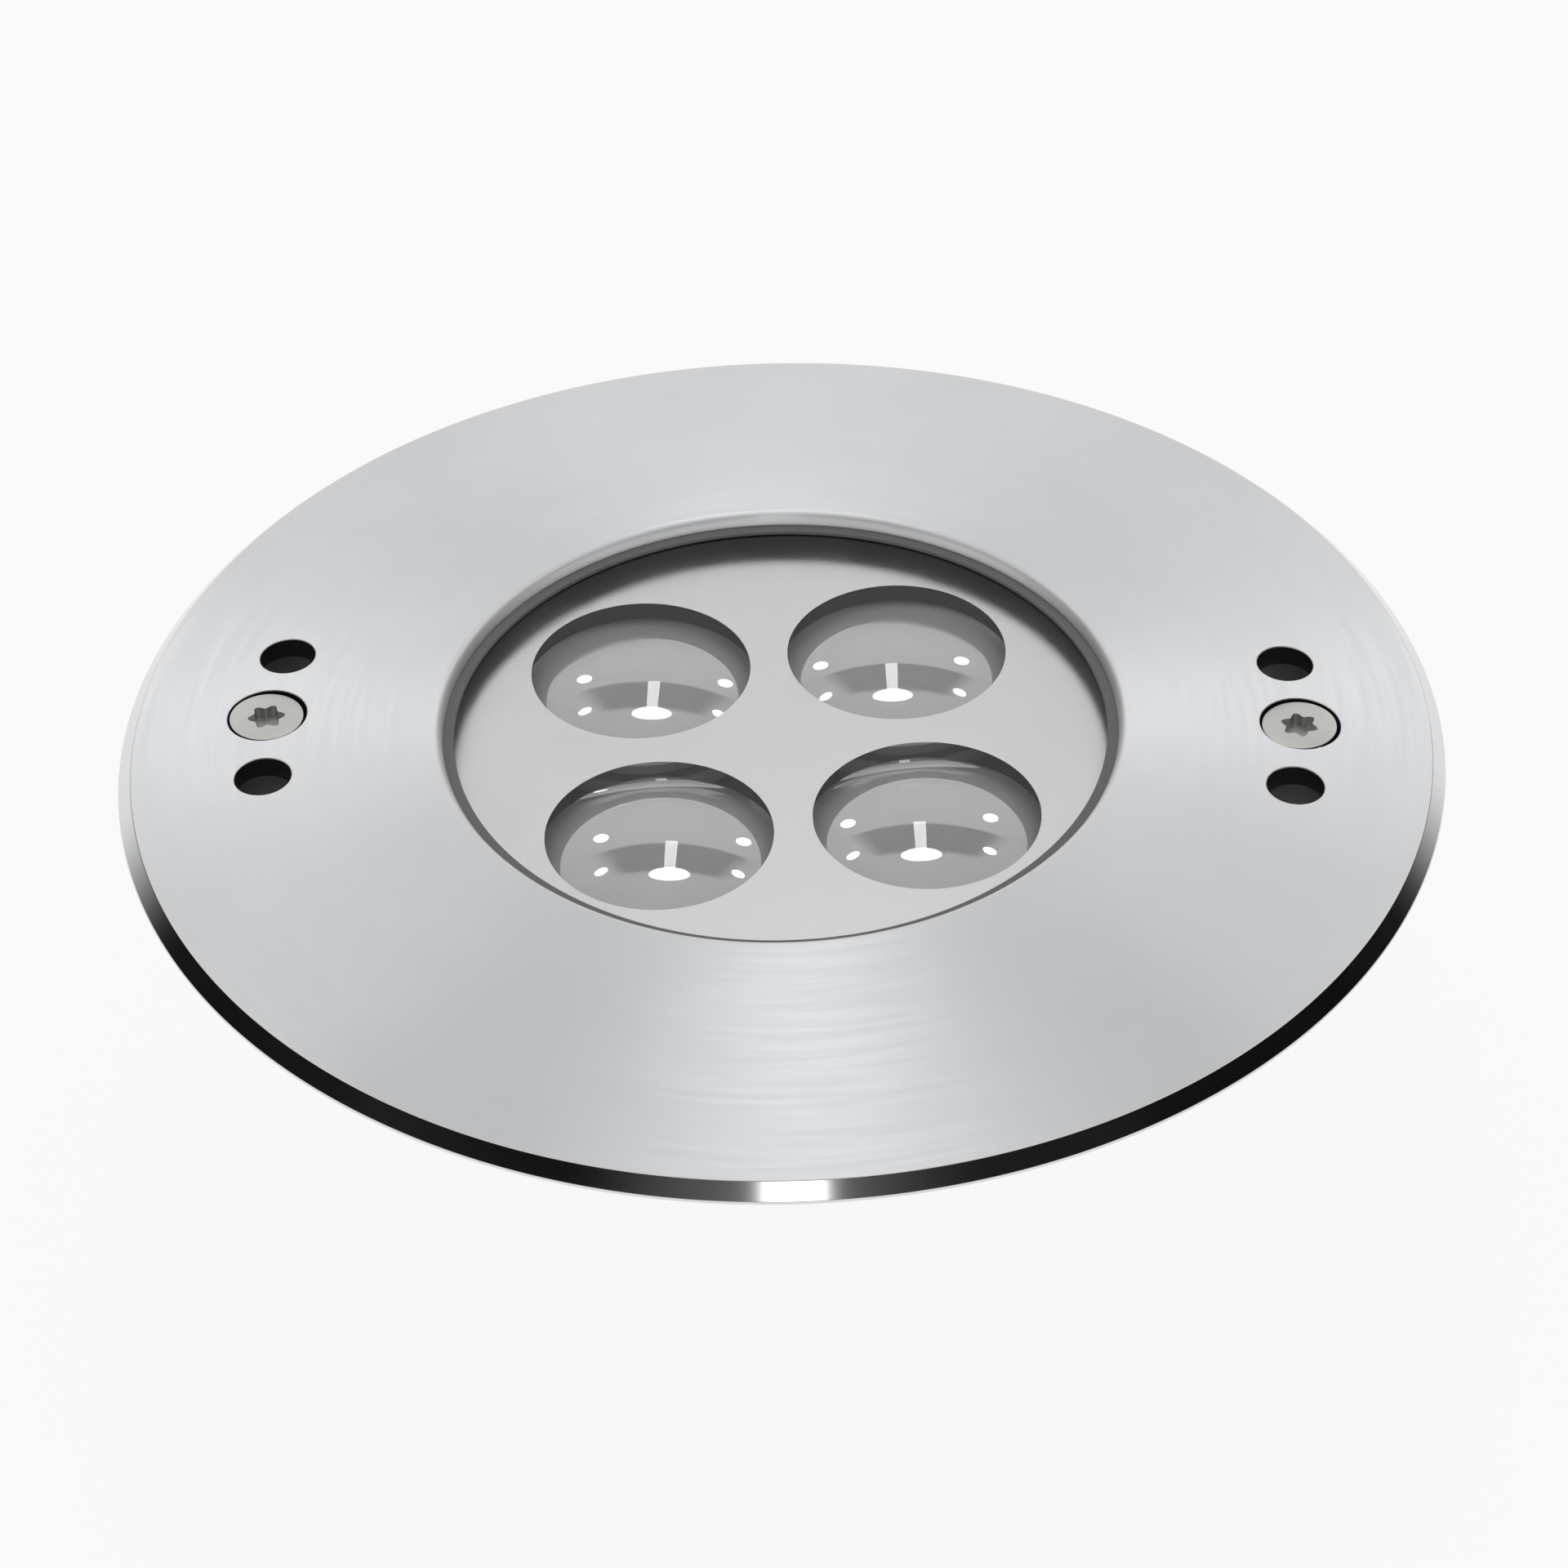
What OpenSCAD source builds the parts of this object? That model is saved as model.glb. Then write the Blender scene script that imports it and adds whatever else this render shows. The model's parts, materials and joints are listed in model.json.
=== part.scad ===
// Recessed underwater light with a round stainless bezel, a glass window and four collimated LEDs.
// The origin is the centre of the niche gasket's underside, the plane in which the light is seated.
// +Z points out of the window, and the X axis runs through the two fixing screws.

/* [Bezel] */
// Outer diameter of the bezel
bezel_d = 200; // [190:1:210]
// Diameter of the window opening at the crest of its lip
opening_d = 105.4; // [104:0.2:107]
// Thickness of the bezel at its rim
bezel_edge_t = 2.5; // [2.4:0.1:3]
// Rise of the bezel's dished face from the rim to the opening
bezel_rise = 2; // [1:0.1:2.5]
// Width and height of the 45 degree bevel round the rim
bevel = 2.1; // [1:0.1:2.1]
// Depth of the opening in the bezel, from the crest of its lip to the glass gasket
lip_depth = 1.9; // [1.8:0.1:3]
// Lean of the opening's wall in degrees, by which the opening narrows towards the glass
lip_lean = 27; // [15:1:30]

/* [Fixing screws and circulation holes] */
// Diameter of the circle through the fixing screws
fixing_pcd = 156.4; // [154:0.2:160]
// Diameter of a fixing screw's thread
fixing_d = 6; // [5:0.5:6]
// Diameter of the neck between the screw's head and its thread, on which the captive washer sits
fixing_neck_d = 5.2; // [4.8:0.1:5.4]
// Length of a fixing screw over its head
fixing_l = 20; // [16:1:30]
// Diameter of a fixing screw's countersunk head
fixing_head_d = 11.3; // [11:0.1:11.6]
// How far a captive fixing screw can be backed out
fixing_travel = 6; // [4:0.5:8]
// Diameter of the four water circulation holes
water_hole_d = 8.6; // [6:0.1:9]
// Distance of the circulation holes from the line through the screws
water_hole_offset = 14.7; // [13:0.1:16]

/* [Window] */
// Thickness of the toughened glass
glass_t = 5; // [4:0.5:6]
// Thickness of the gasket in front of the glass
front_gasket_t = 0.6; // [0.4:0.1:1]
// Thickness of the niche gasket under the bezel
niche_gasket_t = 4; // [3:0.5:5]

/* [Optics] */
// Distance of each lens from the light's axis
lens_circle_r = 28.2; // [28:0.1:29]
// Turn of the lens square against the fixing screws
lens_turn = 7.5; // [0:0.5:45]
// Diameter of a lens over its rim
lens_d = 37; // [36:0.5:38]
// Diameter of the aperture over each lens
aperture_d = 34; // [30:0.5:35]
// Radius of the lens's domed front
lens_dome_r = 32.4; // [30:0.2:40]
// Height of the collimator from its rim's underside to its foot
collimator_h = 14; // [13:0.5:14]

/* [Housing] */
// Outer diameter of the clamping flange
flange_d = 141; // [140:0.5:142]
// Number of clamping studs
stud_count = 6; // [4:1:8]
// Outer diameter of the optic chamber
chamber_d = 114; // [112:0.5:116]
// Wall of the housing
wall = 3; // [2.5:0.1:3]
// Diameter of the cable that the gland takes
cable_d = 8; // [6:0.5:8]

/* [Hidden] */
$fn = 96;

// Bezel section
bezel_r = bezel_d / 2;
opening_r = opening_d / 2;
face_r = bezel_r - bevel;
back_z = niche_gasket_t;
rim_z = back_z + bezel_edge_t;
lip_z = rim_z + bezel_rise;
lip_round = 1.3;
throat_land = 0.3;
rabbet_z = lip_z - lip_depth;
rabbet_r = 59.6;
throat_r = opening_r - (lip_round + sin(lip_lean) * (lip_depth - throat_land - lip_round)) / cos(lip_lean);
fixing_r = fixing_pcd / 2;
face_at_fixing = rim_z + bezel_rise * (face_r - fixing_r) / (face_r - opening_r);
recess_d = fixing_head_d + 0.9;
recess_play = 0.12;
water_x = sqrt(pow(fixing_r, 2) - pow(water_hole_offset, 2));

// Fixing screws and their captive washers
head_sunk = 0.3;
head_land = 0.35;
head_gap = 0.15;
fixing_top = face_at_fixing - head_sunk;
fixing_hole_d = fixing_d + 0.6;
washer_t = 1;
washer_d = 9;
washer_fit = 0.05;
washer_stop_gap = 0.2;
washer_top = back_z - fixing_travel - washer_stop_gap;
washer_low = washer_top - washer_t;

// Window stack
glass_r = rabbet_r - 0.6;
glass_top = rabbet_z - front_gasket_t;
glass_low = glass_top - glass_t;
glass_chamfer = 0.5;
rear_seal_t = 0.8;
seat_z = glass_low - rear_seal_t;
bore_r = 54;

// Mask, lenses and holders, from the glass down
mask_t = 1.2;
mask_top = glass_low - 0.3;
mask_low = mask_top - mask_t;
chamber_inner_r = 51.5;
lens_r = lens_d / 2;
lens_top = mask_top - 0.5;
lens_sag = lens_dome_r - sqrt(pow(lens_dome_r, 2) - pow(lens_r, 2));
lens_rim_t = 2;
rim_low = lens_top - lens_sag - lens_rim_t;
lens_foot = rim_low - collimator_h;
collimator_top_r = 16.5;
collimator_foot_r = 6;
holder_wall = 1.2;
holder_ledge_r = collimator_top_r + 0.5;
holder_r = lens_r + 1.2;
board_gap = 0.6;

// LED board, pad, spreader and driver, from the lenses down
led_board_t = 1.6;
led_board_r = 45;
board_top = lens_foot - board_gap;
board_low = board_top - led_board_t;
pad_t = 0.4;
spreader_top = board_low - pad_t;
spreader_t = 6;
spreader_low = spreader_top - spreader_t;
spreader_r = chamber_inner_r - 0.3;
shoulder_r = 46;
m3_r = 1.5;
m3_fit = 0.05;
m3_head_r = 2.75;
m3_head_h = 1.8;
board_screw_r = 41;
spreader_screw_r = 48.4;
lead_hole_r = 4;
standoff_l = 10.4;
standoff_af = 5.5;
standoff_r = 28;
driver_t = 1.6;
driver_r = 34;
driver_top = spreader_low - standoff_l;
driver_low = driver_top - driver_t;
led_base_t = 0.9;
lead_r = 0.8;
lead_xs = [-2, 2];

// Places of the driver's parts on their board, and each chip's place and size
inductor_at = [-14, 12];
capacitors_at = [[17, -9], [17, 1]];
terminal_at = [2, 24];
chips = [[-6, -18, 5, 6], [4, -20, 6.5, 6], [-18, -10, 4, 5]];
chip_t = 1.6;

// Housing section
flange_r = flange_d / 2;
flange_t = 5;
flange_low = back_z - flange_t;
hub_r = 60.5;
hub_low = flange_low - 7;
chamber_r = chamber_d / 2;
cone_top = spreader_low - 2;
base_r = 36;
cone_h = chamber_r - base_r;
base_low = cone_top - cone_h - 3;
floor_z = base_low + wall + 0.5;
inner_cone_shift = wall * sqrt(2);
boss_r = 15;
boss_low = base_low - 2;
base_round = 3;
stud_circle_r = 65.3;
stud_r = 2;
nut_af = 7;
nut_h = 3.2;
stud_washer_r = 4.5;
stud_washer_t = 0.8;
stud_end = flange_low - stud_washer_t - nut_h - 1.5;

// Gland
gland_thread_r = 8;
gland_hole_r = gland_thread_r + 0.1;
gland_seal_t = 1.5;
gland_hex_af = 22;
gland_hex_h = 5.5;
gland_hex_top = boss_low - gland_seal_t;
gland_hex_low = gland_hex_top - gland_hex_h;
gland_neck_r = 9.5;
gland_neck_l = 6;
gland_bore_r = 6.2;
insert_r = 7.4;
insert_low = gland_hex_low - 7;
cap_low = gland_hex_low - 13.5;
cap_mouth_r = cable_d / 2 + 0.6;
locknut_af = 24;
locknut_h = 3.5;

// Ring of rectangular section between two radii and two heights
module ring(r_in, r_out, z_low, z_high) {
  rotate_extrude() translate([r_in, z_low]) square([r_out - r_in, z_high - z_low]);
}

// Round bar or round hole from one height to another
module post(r, z_low, z_high) {
  translate([0, 0, z_low]) cylinder(r = r, h = z_high - z_low);
}

// Hexagonal bar across flats
module hex(af, z_low, z_high) {
  translate([0, 0, z_low]) cylinder(r = af / sqrt(3), h = z_high - z_low, $fn = 6);
}

// Copies its children at equal steps round the axis
module around(r, count, start = 0) {
  for (i = [0:count - 1]) rotate(start + i * 360 / count) translate([r, 0, 0]) children();
}

// Places its children on one lens's axis
module at_lens(i) {
  rotate(lens_turn + 45 + 90 * i) translate([lens_circle_r, 0, 0]) children();
}

// Pan head screw standing on z = 0 with its shank downwards and a cross in its head
module pan_screw(shank_l) {
  crown_r = 3.4;
  slot_w = 0.6;
  slot_l = 2.8;
  slot_depth = 1;
  difference() {
    union() {
      post(m3_r, -shank_l, 0);
      rotate_extrude() intersection() {
        translate([0, m3_head_h - crown_r]) circle(crown_r);
        square([m3_head_r, m3_head_h]);
      }
    }
    for (a = [0, 90]) rotate(a) translate([-slot_l / 2, -slot_w / 2, m3_head_h - slot_depth])
      cube([slot_l, slot_w, slot_depth + 1]);
  }
}

// Six-lobed driving recess of a screw head
module hexalobe(across, depth) {
  valley_r = across * 0.205;
  valley_c = across * 0.566;
  translate([0, 0, -depth]) linear_extrude(depth + 1) difference() {
    circle(across / 2);
    for (i = [0:5]) rotate(60 * i + 30) translate([valley_c, 0]) circle(valley_r);
  }
}

// Turned bezel: bevelled rim, dished face, rounded lip, leaning wall and a rabbet for the glass
module bezel_section() {
  steps = 7;
  step_a = (90 - lip_lean) / steps;
  lip_c = [opening_r, lip_z - lip_round];
  lip_arc = [for (i = [0:steps]) lip_c + lip_round * [cos(90 + i * step_a), sin(90 + i * step_a)]];
  polygon(concat(
    [[rabbet_r, back_z], [bezel_r, back_z], [bezel_r, rim_z - bevel], [face_r, rim_z]],
    lip_arc,
    [[throat_r, rabbet_z + throat_land], [throat_r, rabbet_z], [rabbet_r, rabbet_z]]
  ));
}

module front_bezel() {
  color("lightgray") difference() {
    rotate_extrude($fn = 240) bezel_section();
    for (side = [-1, 1]) {
      translate([side * fixing_r + recess_play, 0, 0]) fixing_recess();
      for (y = [-1, 1]) translate([side * water_x, y * water_hole_offset, 0])
        post(water_hole_d / 2, back_z - 1, lip_z);
    }
  }
}

// Countersunk recess that a fixing screw's head sinks into
module fixing_recess() {
  recess_r = recess_d / 2;
  cone_top = fixing_top - head_land - head_gap;
  cone_low = cone_top - (recess_r - fixing_hole_d / 2);
  post(fixing_hole_d / 2, back_z - 1, lip_z);
  translate([0, 0, cone_low]) cylinder(r1 = fixing_hole_d / 2, r2 = recess_r, h = cone_top - cone_low);
  post(recess_r, cone_top, lip_z);
}

// Studs welded to the bezel's back
module bezel_studs() {
  chamfer = 0.5;
  color("silver") around(stud_circle_r, stud_count, 30) {
    post(stud_r, stud_end + chamfer, back_z);
    translate([0, 0, stud_end]) cylinder(r1 = stud_r - chamfer, r2 = stud_r, h = chamfer);
  }
}

// Gasket between the bezel and the glass, whose inner edge shows just behind the throat
module front_gasket() {
  inset = 0.15;
  edge_gap = 0.4;
  color("black") ring(throat_r + inset, glass_r - edge_gap, glass_top, rabbet_z);
}

// Toughened glass with ground chamfers on both edges
module glass_pane() {
  c = glass_chamfer;
  color("lightcyan", 0.4) rotate_extrude() polygon([
    [0, glass_low], [glass_r - c, glass_low], [glass_r, glass_low + c],
    [glass_r, glass_top - c], [glass_r - c, glass_top], [0, glass_top]
  ]);
}

module rear_seal() {
  edge_gap = 0.6;
  color("dimgray") ring(bore_r + edge_gap, glass_r - edge_gap, seat_z, glass_low);
}

// Rubber ring between the bezel and the niche, open at the screws and the circulation holes
module niche_gasket() {
  gasket_in = flange_r + 0.7;
  gasket_out = 94;
  screw_pass_r = washer_d / 2 + 0.8;
  color("black") difference() {
    ring(gasket_in, gasket_out, 0, niche_gasket_t);
    for (side = [-1, 1]) {
      translate([side * fixing_r, 0, 0]) post(screw_pass_r, -1, niche_gasket_t + 1);
      for (y = [-1, 1]) translate([side * water_x, y * water_hole_offset, 0])
        post(water_hole_d / 2 + 0.3, -1, niche_gasket_t + 1);
    }
  }
}

// Turned housing: clamping flange with the glass seat, optic chamber, shoulder and driver cup
module pot_section() {
  edge = 0.5;
  blend = [base_r - base_round, base_low + base_round];
  foot_arc = [for (a = [0:-15:-90]) blend + base_round * [cos(a), sin(a)]];
  polygon(concat(
    [[rabbet_r, back_z], [flange_r - edge, back_z], [flange_r, back_z - edge],
     [flange_r, flange_low + edge], [flange_r - edge, flange_low], [hub_r, flange_low],
     [hub_r, hub_low], [chamber_r, hub_low - (hub_r - chamber_r)], [chamber_r, cone_top],
     [base_r, cone_top - cone_h]],
    foot_arc,
    [[boss_r, base_low], [boss_r, boss_low], [gland_hole_r, boss_low], [gland_hole_r, floor_z],
     [chamber_r - inner_cone_shift - (cone_top - floor_z), floor_z],
     [shoulder_r, cone_top - (chamber_r - inner_cone_shift - shoulder_r)],
     [shoulder_r, spreader_low], [chamber_inner_r, spreader_low], [chamber_inner_r, mask_low],
     [bore_r, mask_low], [bore_r, seat_z], [rabbet_r, seat_z]]
  ));
}

module housing_pot() {
  color("silver") difference() {
    rotate_extrude($fn = 180) pot_section();
    around(stud_circle_r, stud_count, 30) post(stud_r + 0.25, flange_low - 1, back_z + 1);
    around(spreader_screw_r, 4, lens_turn) post(m3_r + m3_fit, spreader_low - 8, spreader_low + 1);
  }
}

module clamp_washers() {
  color("gainsboro") around(stud_circle_r, stud_count, 30)
    ring(stud_r + 0.15, stud_washer_r, flange_low - stud_washer_t, flange_low);
}

// Nuts with their corners turned to a cone
module clamp_nuts() {
  nut_top = flange_low - stud_washer_t;
  nut_low = nut_top - nut_h;
  corner_r = nut_af / sqrt(3);
  cone_h = nut_h + corner_r - nut_af / 2;
  color("gainsboro") around(stud_circle_r, stud_count, 30) difference() {
    intersection() {
      hex(nut_af, nut_low, nut_top);
      translate([0, 0, nut_low]) cylinder(r1 = nut_af / 2, r2 = nut_af / 2 + cone_h, h = cone_h);
    }
    post(stud_r + 0.05, nut_low - 1, nut_top + 1);
  }
}

// Countersunk captive screw that holds the light in its niche: head, neck, thread and chamfered tip
module fixing_screw() {
  tip = 0.8;
  edge = 0.1;
  head_r = fixing_head_d / 2;
  neck_r = fixing_neck_d / 2;
  thread_r = fixing_d / 2;
  thread_low = fixing_top - fixing_l;
  thread_top = washer_low - washer_fit;
  color("darkgray") difference() {
    rotate_extrude() polygon([
      [0, thread_low], [thread_r - tip, thread_low], [thread_r, thread_low + tip],
      [thread_r, thread_top - (thread_r - neck_r)], [neck_r, thread_top],
      [neck_r, fixing_top - head_land - (head_r - neck_r)], [head_r, fixing_top - head_land],
      [head_r, fixing_top - edge], [head_r - edge, fixing_top], [0, fixing_top]
    ]);
    translate([0, 0, fixing_top]) hexalobe(5.7, 2.2);
  }
}

module left_fixing_screw() {
  translate([-fixing_r, 0, 0]) rotate(12) fixing_screw();
}

module right_fixing_screw() {
  translate([fixing_r, 0, 0]) rotate(-20) fixing_screw();
}

// Washer that snaps over the thread onto the screw's neck and keeps the screw with the light
module captive_washer() {
  color("ivory") ring(fixing_neck_d / 2 + washer_fit, washer_d / 2, washer_low, washer_top);
}

module left_captive_washer() {
  translate([-fixing_r, 0, 0]) captive_washer();
}

module right_captive_washer() {
  translate([fixing_r, 0, 0]) captive_washer();
}

// Plate that frames the four lenses, with the edges of its apertures undercut to a thin lip
module mask_plate() {
  edge_r = aperture_d / 2;
  slope = 1.3;
  color("gainsboro") difference() {
    post(bore_r - 0.3, mask_low, mask_top);
    for (i = [0:3]) at_lens(i) translate([0, 0, mask_low - 1])
      cylinder(r1 = edge_r + slope * (mask_t + 1), r2 = edge_r - slope, h = mask_t + 2);
  }
}

// Height of the collimator's parabola at a radius, measured from its foot
function parabola_h(r) =
  collimator_h * (pow(r, 2) - pow(collimator_foot_r, 2))
  / (pow(collimator_top_r, 2) - pow(collimator_foot_r, 2));

// Parabolic collimator under a rim, as a half section
module collimator_section() {
  steps = 12;
  step_r = (collimator_top_r - collimator_foot_r) / steps;
  curve = [for (i = [0:steps]) let (r = collimator_foot_r + i * step_r) [r, lens_foot + parabola_h(r)]];
  polygon(concat([[0, lens_foot]], curve, [[lens_r, rim_low], [lens_r, lens_top], [0, lens_top]]));
}

// Pocket in the collimator's foot that takes the LED, with a small lens in its roof
module led_pocket() {
  pocket_r = 4;
  pocket_h = 5;
  roof_r = 6;
  difference() {
    post(pocket_r, lens_foot - 1, lens_foot + pocket_h);
    translate([0, 0, lens_foot + pocket_h - 1.5 + roof_r]) sphere(roof_r);
  }
}

// Collimating lens: domed front, mounting rim, parabolic body and LED pocket
module lens(i) {
  color("aliceblue", 0.5) at_lens(i) difference() {
    intersection() {
      rotate_extrude() collimator_section();
      translate([0, 0, lens_top - lens_dome_r]) sphere(lens_dome_r, $fn = 180);
    }
    led_pocket();
  }
}

// Moulded cup that stands on the LED board and carries one lens by its rim
module lens_holder(i) {
  window_count = 3;
  window_w = 8;
  skirt_low_r = 10;
  foot_t = 1.5;
  collar_top = rim_low + lens_rim_t + 0.5;
  ledge_low = rim_low - holder_wall;
  foot_top = board_top + foot_t;
  color("#303234") at_lens(i) difference() {
    rotate_extrude() polygon([
      [lens_r + 0.1, collar_top], [lens_r + 0.1, rim_low], [holder_ledge_r, rim_low],
      [holder_ledge_r, ledge_low], [skirt_low_r, foot_top + 1], [skirt_low_r, board_top],
      [skirt_low_r + 3, board_top], [skirt_low_r + 3, foot_top], [skirt_low_r + holder_wall, foot_top],
      [holder_ledge_r + holder_wall, ledge_low], [holder_r, ledge_low], [holder_r, collar_top]
    ]);
    for (k = [0:window_count - 1]) rotate(k * 360 / window_count)
      translate([skirt_low_r - 2, -window_w / 2, foot_top + 2]) cube([lens_r, window_w, 6]);
  }
}

// Ceramic carriers of the four LEDs
module led_bases() {
  base_w = 5;
  color("ivory") for (i = [0:3]) at_lens(i)
    translate([-base_w / 2, -base_w / 2, board_top]) cube([base_w, base_w, led_base_t]);
}

// Clear domes over the four LED chips
module led_domes() {
  dome_r = 1.9;
  dome_z = board_top + led_base_t;
  color("khaki") for (i = [0:3]) at_lens(i) intersection() {
    translate([0, 0, dome_z]) sphere(dome_r);
    post(dome_r + 1, dome_z, dome_z + dome_r + 1);
  }
}

module led_board() {
  color("whitesmoke") difference() {
    post(led_board_r, board_low, board_top);
    post(lead_hole_r, board_low - 1, board_top + 1);
    around(board_screw_r, 4, lens_turn) post(m3_r + 0.1, board_low - 1, board_top + 1);
  }
}

module led_board_screws() {
  color("silver") around(board_screw_r, 4, lens_turn) translate([0, 0, board_top]) pan_screw(6);
}

// Socket over the lead hole, in which the LED leads end
module led_connector() {
  body = [11, 6, 4];
  socket_r = 1.2;
  socket_depth = 1.5;
  color("ivory") difference() {
    translate([-body.x / 2, -body.y / 2, board_top]) cube(body);
    for (x = lead_xs) translate([x, 0, board_top + body.z]) post(socket_r, -socket_depth, 1);
  }
}

module thermal_pad() {
  color("lightsteelblue") difference() {
    post(led_board_r - 0.5, spreader_top, board_low);
    post(lead_hole_r + 0.5, spreader_top - 1, board_low + 1);
    around(board_screw_r, 4, lens_turn) post(m3_r + 0.5, spreader_top - 1, board_low + 1);
  }
}

// Aluminium disc that takes the LEDs' heat to the housing's shoulder
module heat_spreader() {
  color("lightslategray") difference() {
    post(spreader_r, spreader_low, spreader_top);
    post(lead_hole_r + 0.5, spreader_low - 1, spreader_top + 1);
    around(board_screw_r, 4, lens_turn) post(m3_r + m3_fit, spreader_top - 5, spreader_top + 1);
    around(spreader_screw_r, 4, lens_turn) post(m3_r + 0.2, spreader_low - 1, spreader_top + 1);
    around(standoff_r, 3) post(m3_r + m3_fit, spreader_low - 1, spreader_low + 5);
  }
}

module spreader_screws() {
  color("silver") around(spreader_screw_r, 4, lens_turn) translate([0, 0, spreader_top]) pan_screw(12);
}

// Hexagonal spacers that hang the driver board under the spreader
module driver_standoffs() {
  color("goldenrod") around(standoff_r, 3) difference() {
    union() {
      hex(standoff_af, driver_top, spreader_low);
      post(m3_r, spreader_low, spreader_low + 4.5);
    }
    post(m3_r + m3_fit, driver_top - 1, driver_top + 6);
  }
}

// Driver board with a notch in its edge for the supply leads
module driver_board() {
  color("seagreen") difference() {
    post(driver_r, driver_low, driver_top);
    around(standoff_r, 3) post(m3_r + 0.1, driver_low - 1, driver_top + 1);
    rotate(60) translate([driver_r, 0, 0]) post(5, driver_low - 1, driver_top + 1);
  }
}

module driver_screws() {
  color("silver") around(standoff_r, 3) translate([0, 0, driver_low]) mirror([0, 0, 1]) pan_screw(6);
}

// Drum-core inductor: a waisted ferrite bobbin
module driver_inductor() {
  drum_r = 7;
  color("#3a3a3c") translate([inductor_at.x, inductor_at.y, driver_top]) rotate_extrude() polygon([
    [0, 0], [drum_r, 0], [drum_r, 1.5], [drum_r - 1, 2], [drum_r - 1, 6], [drum_r, 6.5],
    [drum_r, 8], [0, 8]
  ]);
}

// Two upright electrolytic capacitors with a groove over their seals
module driver_capacitors() {
  can_r = 4;
  can_h = 9.5;
  color("slategray") for (at = capacitors_at) translate([at.x, at.y, driver_top]) rotate_extrude() polygon([
    [0, 0], [can_r, 0], [can_r, 1.2], [can_r - 0.5, 1.6], [can_r, 2], [can_r, can_h - 0.5],
    [can_r - 0.5, can_h], [0, can_h]
  ]);
}

// Three-way terminal block for the supply leads
module driver_terminal() {
  way = 5;
  depth = 8;
  height = 9;
  screw_r = 1.8;
  mouth = 3;
  color("forestgreen") translate([terminal_at.x, terminal_at.y, driver_top]) difference() {
    translate([-1.5 * way, -depth / 2, 0]) cube([3 * way, depth, height]);
    for (k = [-1:1]) {
      translate([k * way, 0, 0]) post(screw_r, height - 2, height + 1);
      translate([k * way - mouth / 2, -1, mouth / 2]) cube([mouth, depth, mouth]);
    }
  }
}

// Controller, switch and diode packages
module driver_chips() {
  color("#26272a") for (chip = chips)
    translate([chip[0] - chip[2] / 2, chip[1] - chip[3] / 2, driver_top]) cube([chip[2], chip[3], chip_t]);
}

// Two insulated leads from the driver up through the spreader to the LED connector
module led_leads() {
  color("firebrick") for (x = lead_xs) translate([x, 0, 0]) post(lead_r, driver_top, board_top);
}

// Gland: threaded spigot through the housing's floor, hexagon and neck for the cap nut
module gland_body() {
  color("silver") difference() {
    union() {
      post(gland_thread_r, gland_hex_top, floor_z + locknut_h + 1);
      hex(gland_hex_af, gland_hex_low, gland_hex_top);
      post(gland_neck_r, gland_hex_low - gland_neck_l, gland_hex_low);
    }
    post(gland_bore_r, gland_hex_low - gland_neck_l - 1, floor_z + locknut_h + 2);
    post(insert_r + 0.1, gland_hex_low - gland_neck_l - 1, gland_hex_low);
  }
}

module gland_seal() {
  color("black") ring(gland_thread_r + 0.2, gland_thread_r + 2.6, gland_hex_top, boss_low);
}

module gland_locknut() {
  color("silver") difference() {
    hex(locknut_af, floor_z, floor_z + locknut_h);
    post(gland_thread_r + 0.05, floor_z - 1, floor_z + locknut_h + 1);
  }
}

// Rubber insert that the cap nut squeezes onto the cable
module gland_insert() {
  taper = 1.2;
  color("#1d1d1f") rotate_extrude() polygon([
    [cable_d / 2, insert_low], [insert_r - taper, insert_low], [insert_r, insert_low + taper],
    [insert_r, gland_hex_low], [cable_d / 2, gland_hex_low]
  ]);
}

// Cap nut: hexagon with a rounded nose and a mouth for the cable
module gland_cap_nut() {
  nose_h = 4;
  hex_low = cap_low + nose_h;
  hex_top = gland_hex_low - 0.6;
  corner_r = gland_hex_af / sqrt(3);
  nose = [for (a = [0:15:60]) [corner_r - 4.5 * (1 - cos(a)), hex_low - nose_h * sin(a) / sin(60)]];
  color("silver") difference() {
    intersection() {
      hex(gland_hex_af, cap_low, hex_top);
      rotate_extrude() polygon(concat([[0, hex_top + 1], [corner_r, hex_top + 1]], nose, [[0, cap_low]]));
    }
    post(gland_neck_r + 0.1, gland_hex_low - gland_neck_l - 0.4, hex_top + 1);
    post(insert_r + 0.2, insert_low - 0.3, hex_top + 1);
    post(cap_mouth_r, cap_low - 1, hex_top + 1);
  }
}

front_bezel();
bezel_studs();
front_gasket();
glass_pane();
rear_seal();
niche_gasket();
housing_pot();
clamp_washers();
clamp_nuts();
left_fixing_screw();
right_fixing_screw();
left_captive_washer();
right_captive_washer();
mask_plate();
for (i = [0:3]) {
  lens(i);
  lens_holder(i);
}
led_bases();
led_domes();
led_board();
led_board_screws();
led_connector();
thermal_pad();
heat_spreader();
spreader_screws();
driver_standoffs();
driver_board();
driver_screws();
driver_inductor();
driver_capacitors();
driver_terminal();
driver_chips();
led_leads();
gland_body();
gland_seal();
gland_locknut();
gland_insert();
gland_cap_nut();
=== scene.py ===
"""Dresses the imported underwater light: turned steel, threads, clear optics, finishes and a plain studio."""

import json
import math

import bmesh
import bpy
from bpy.props import FloatProperty, FloatVectorProperty, IntProperty, PointerProperty
from mathutils import Matrix, Vector

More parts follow.
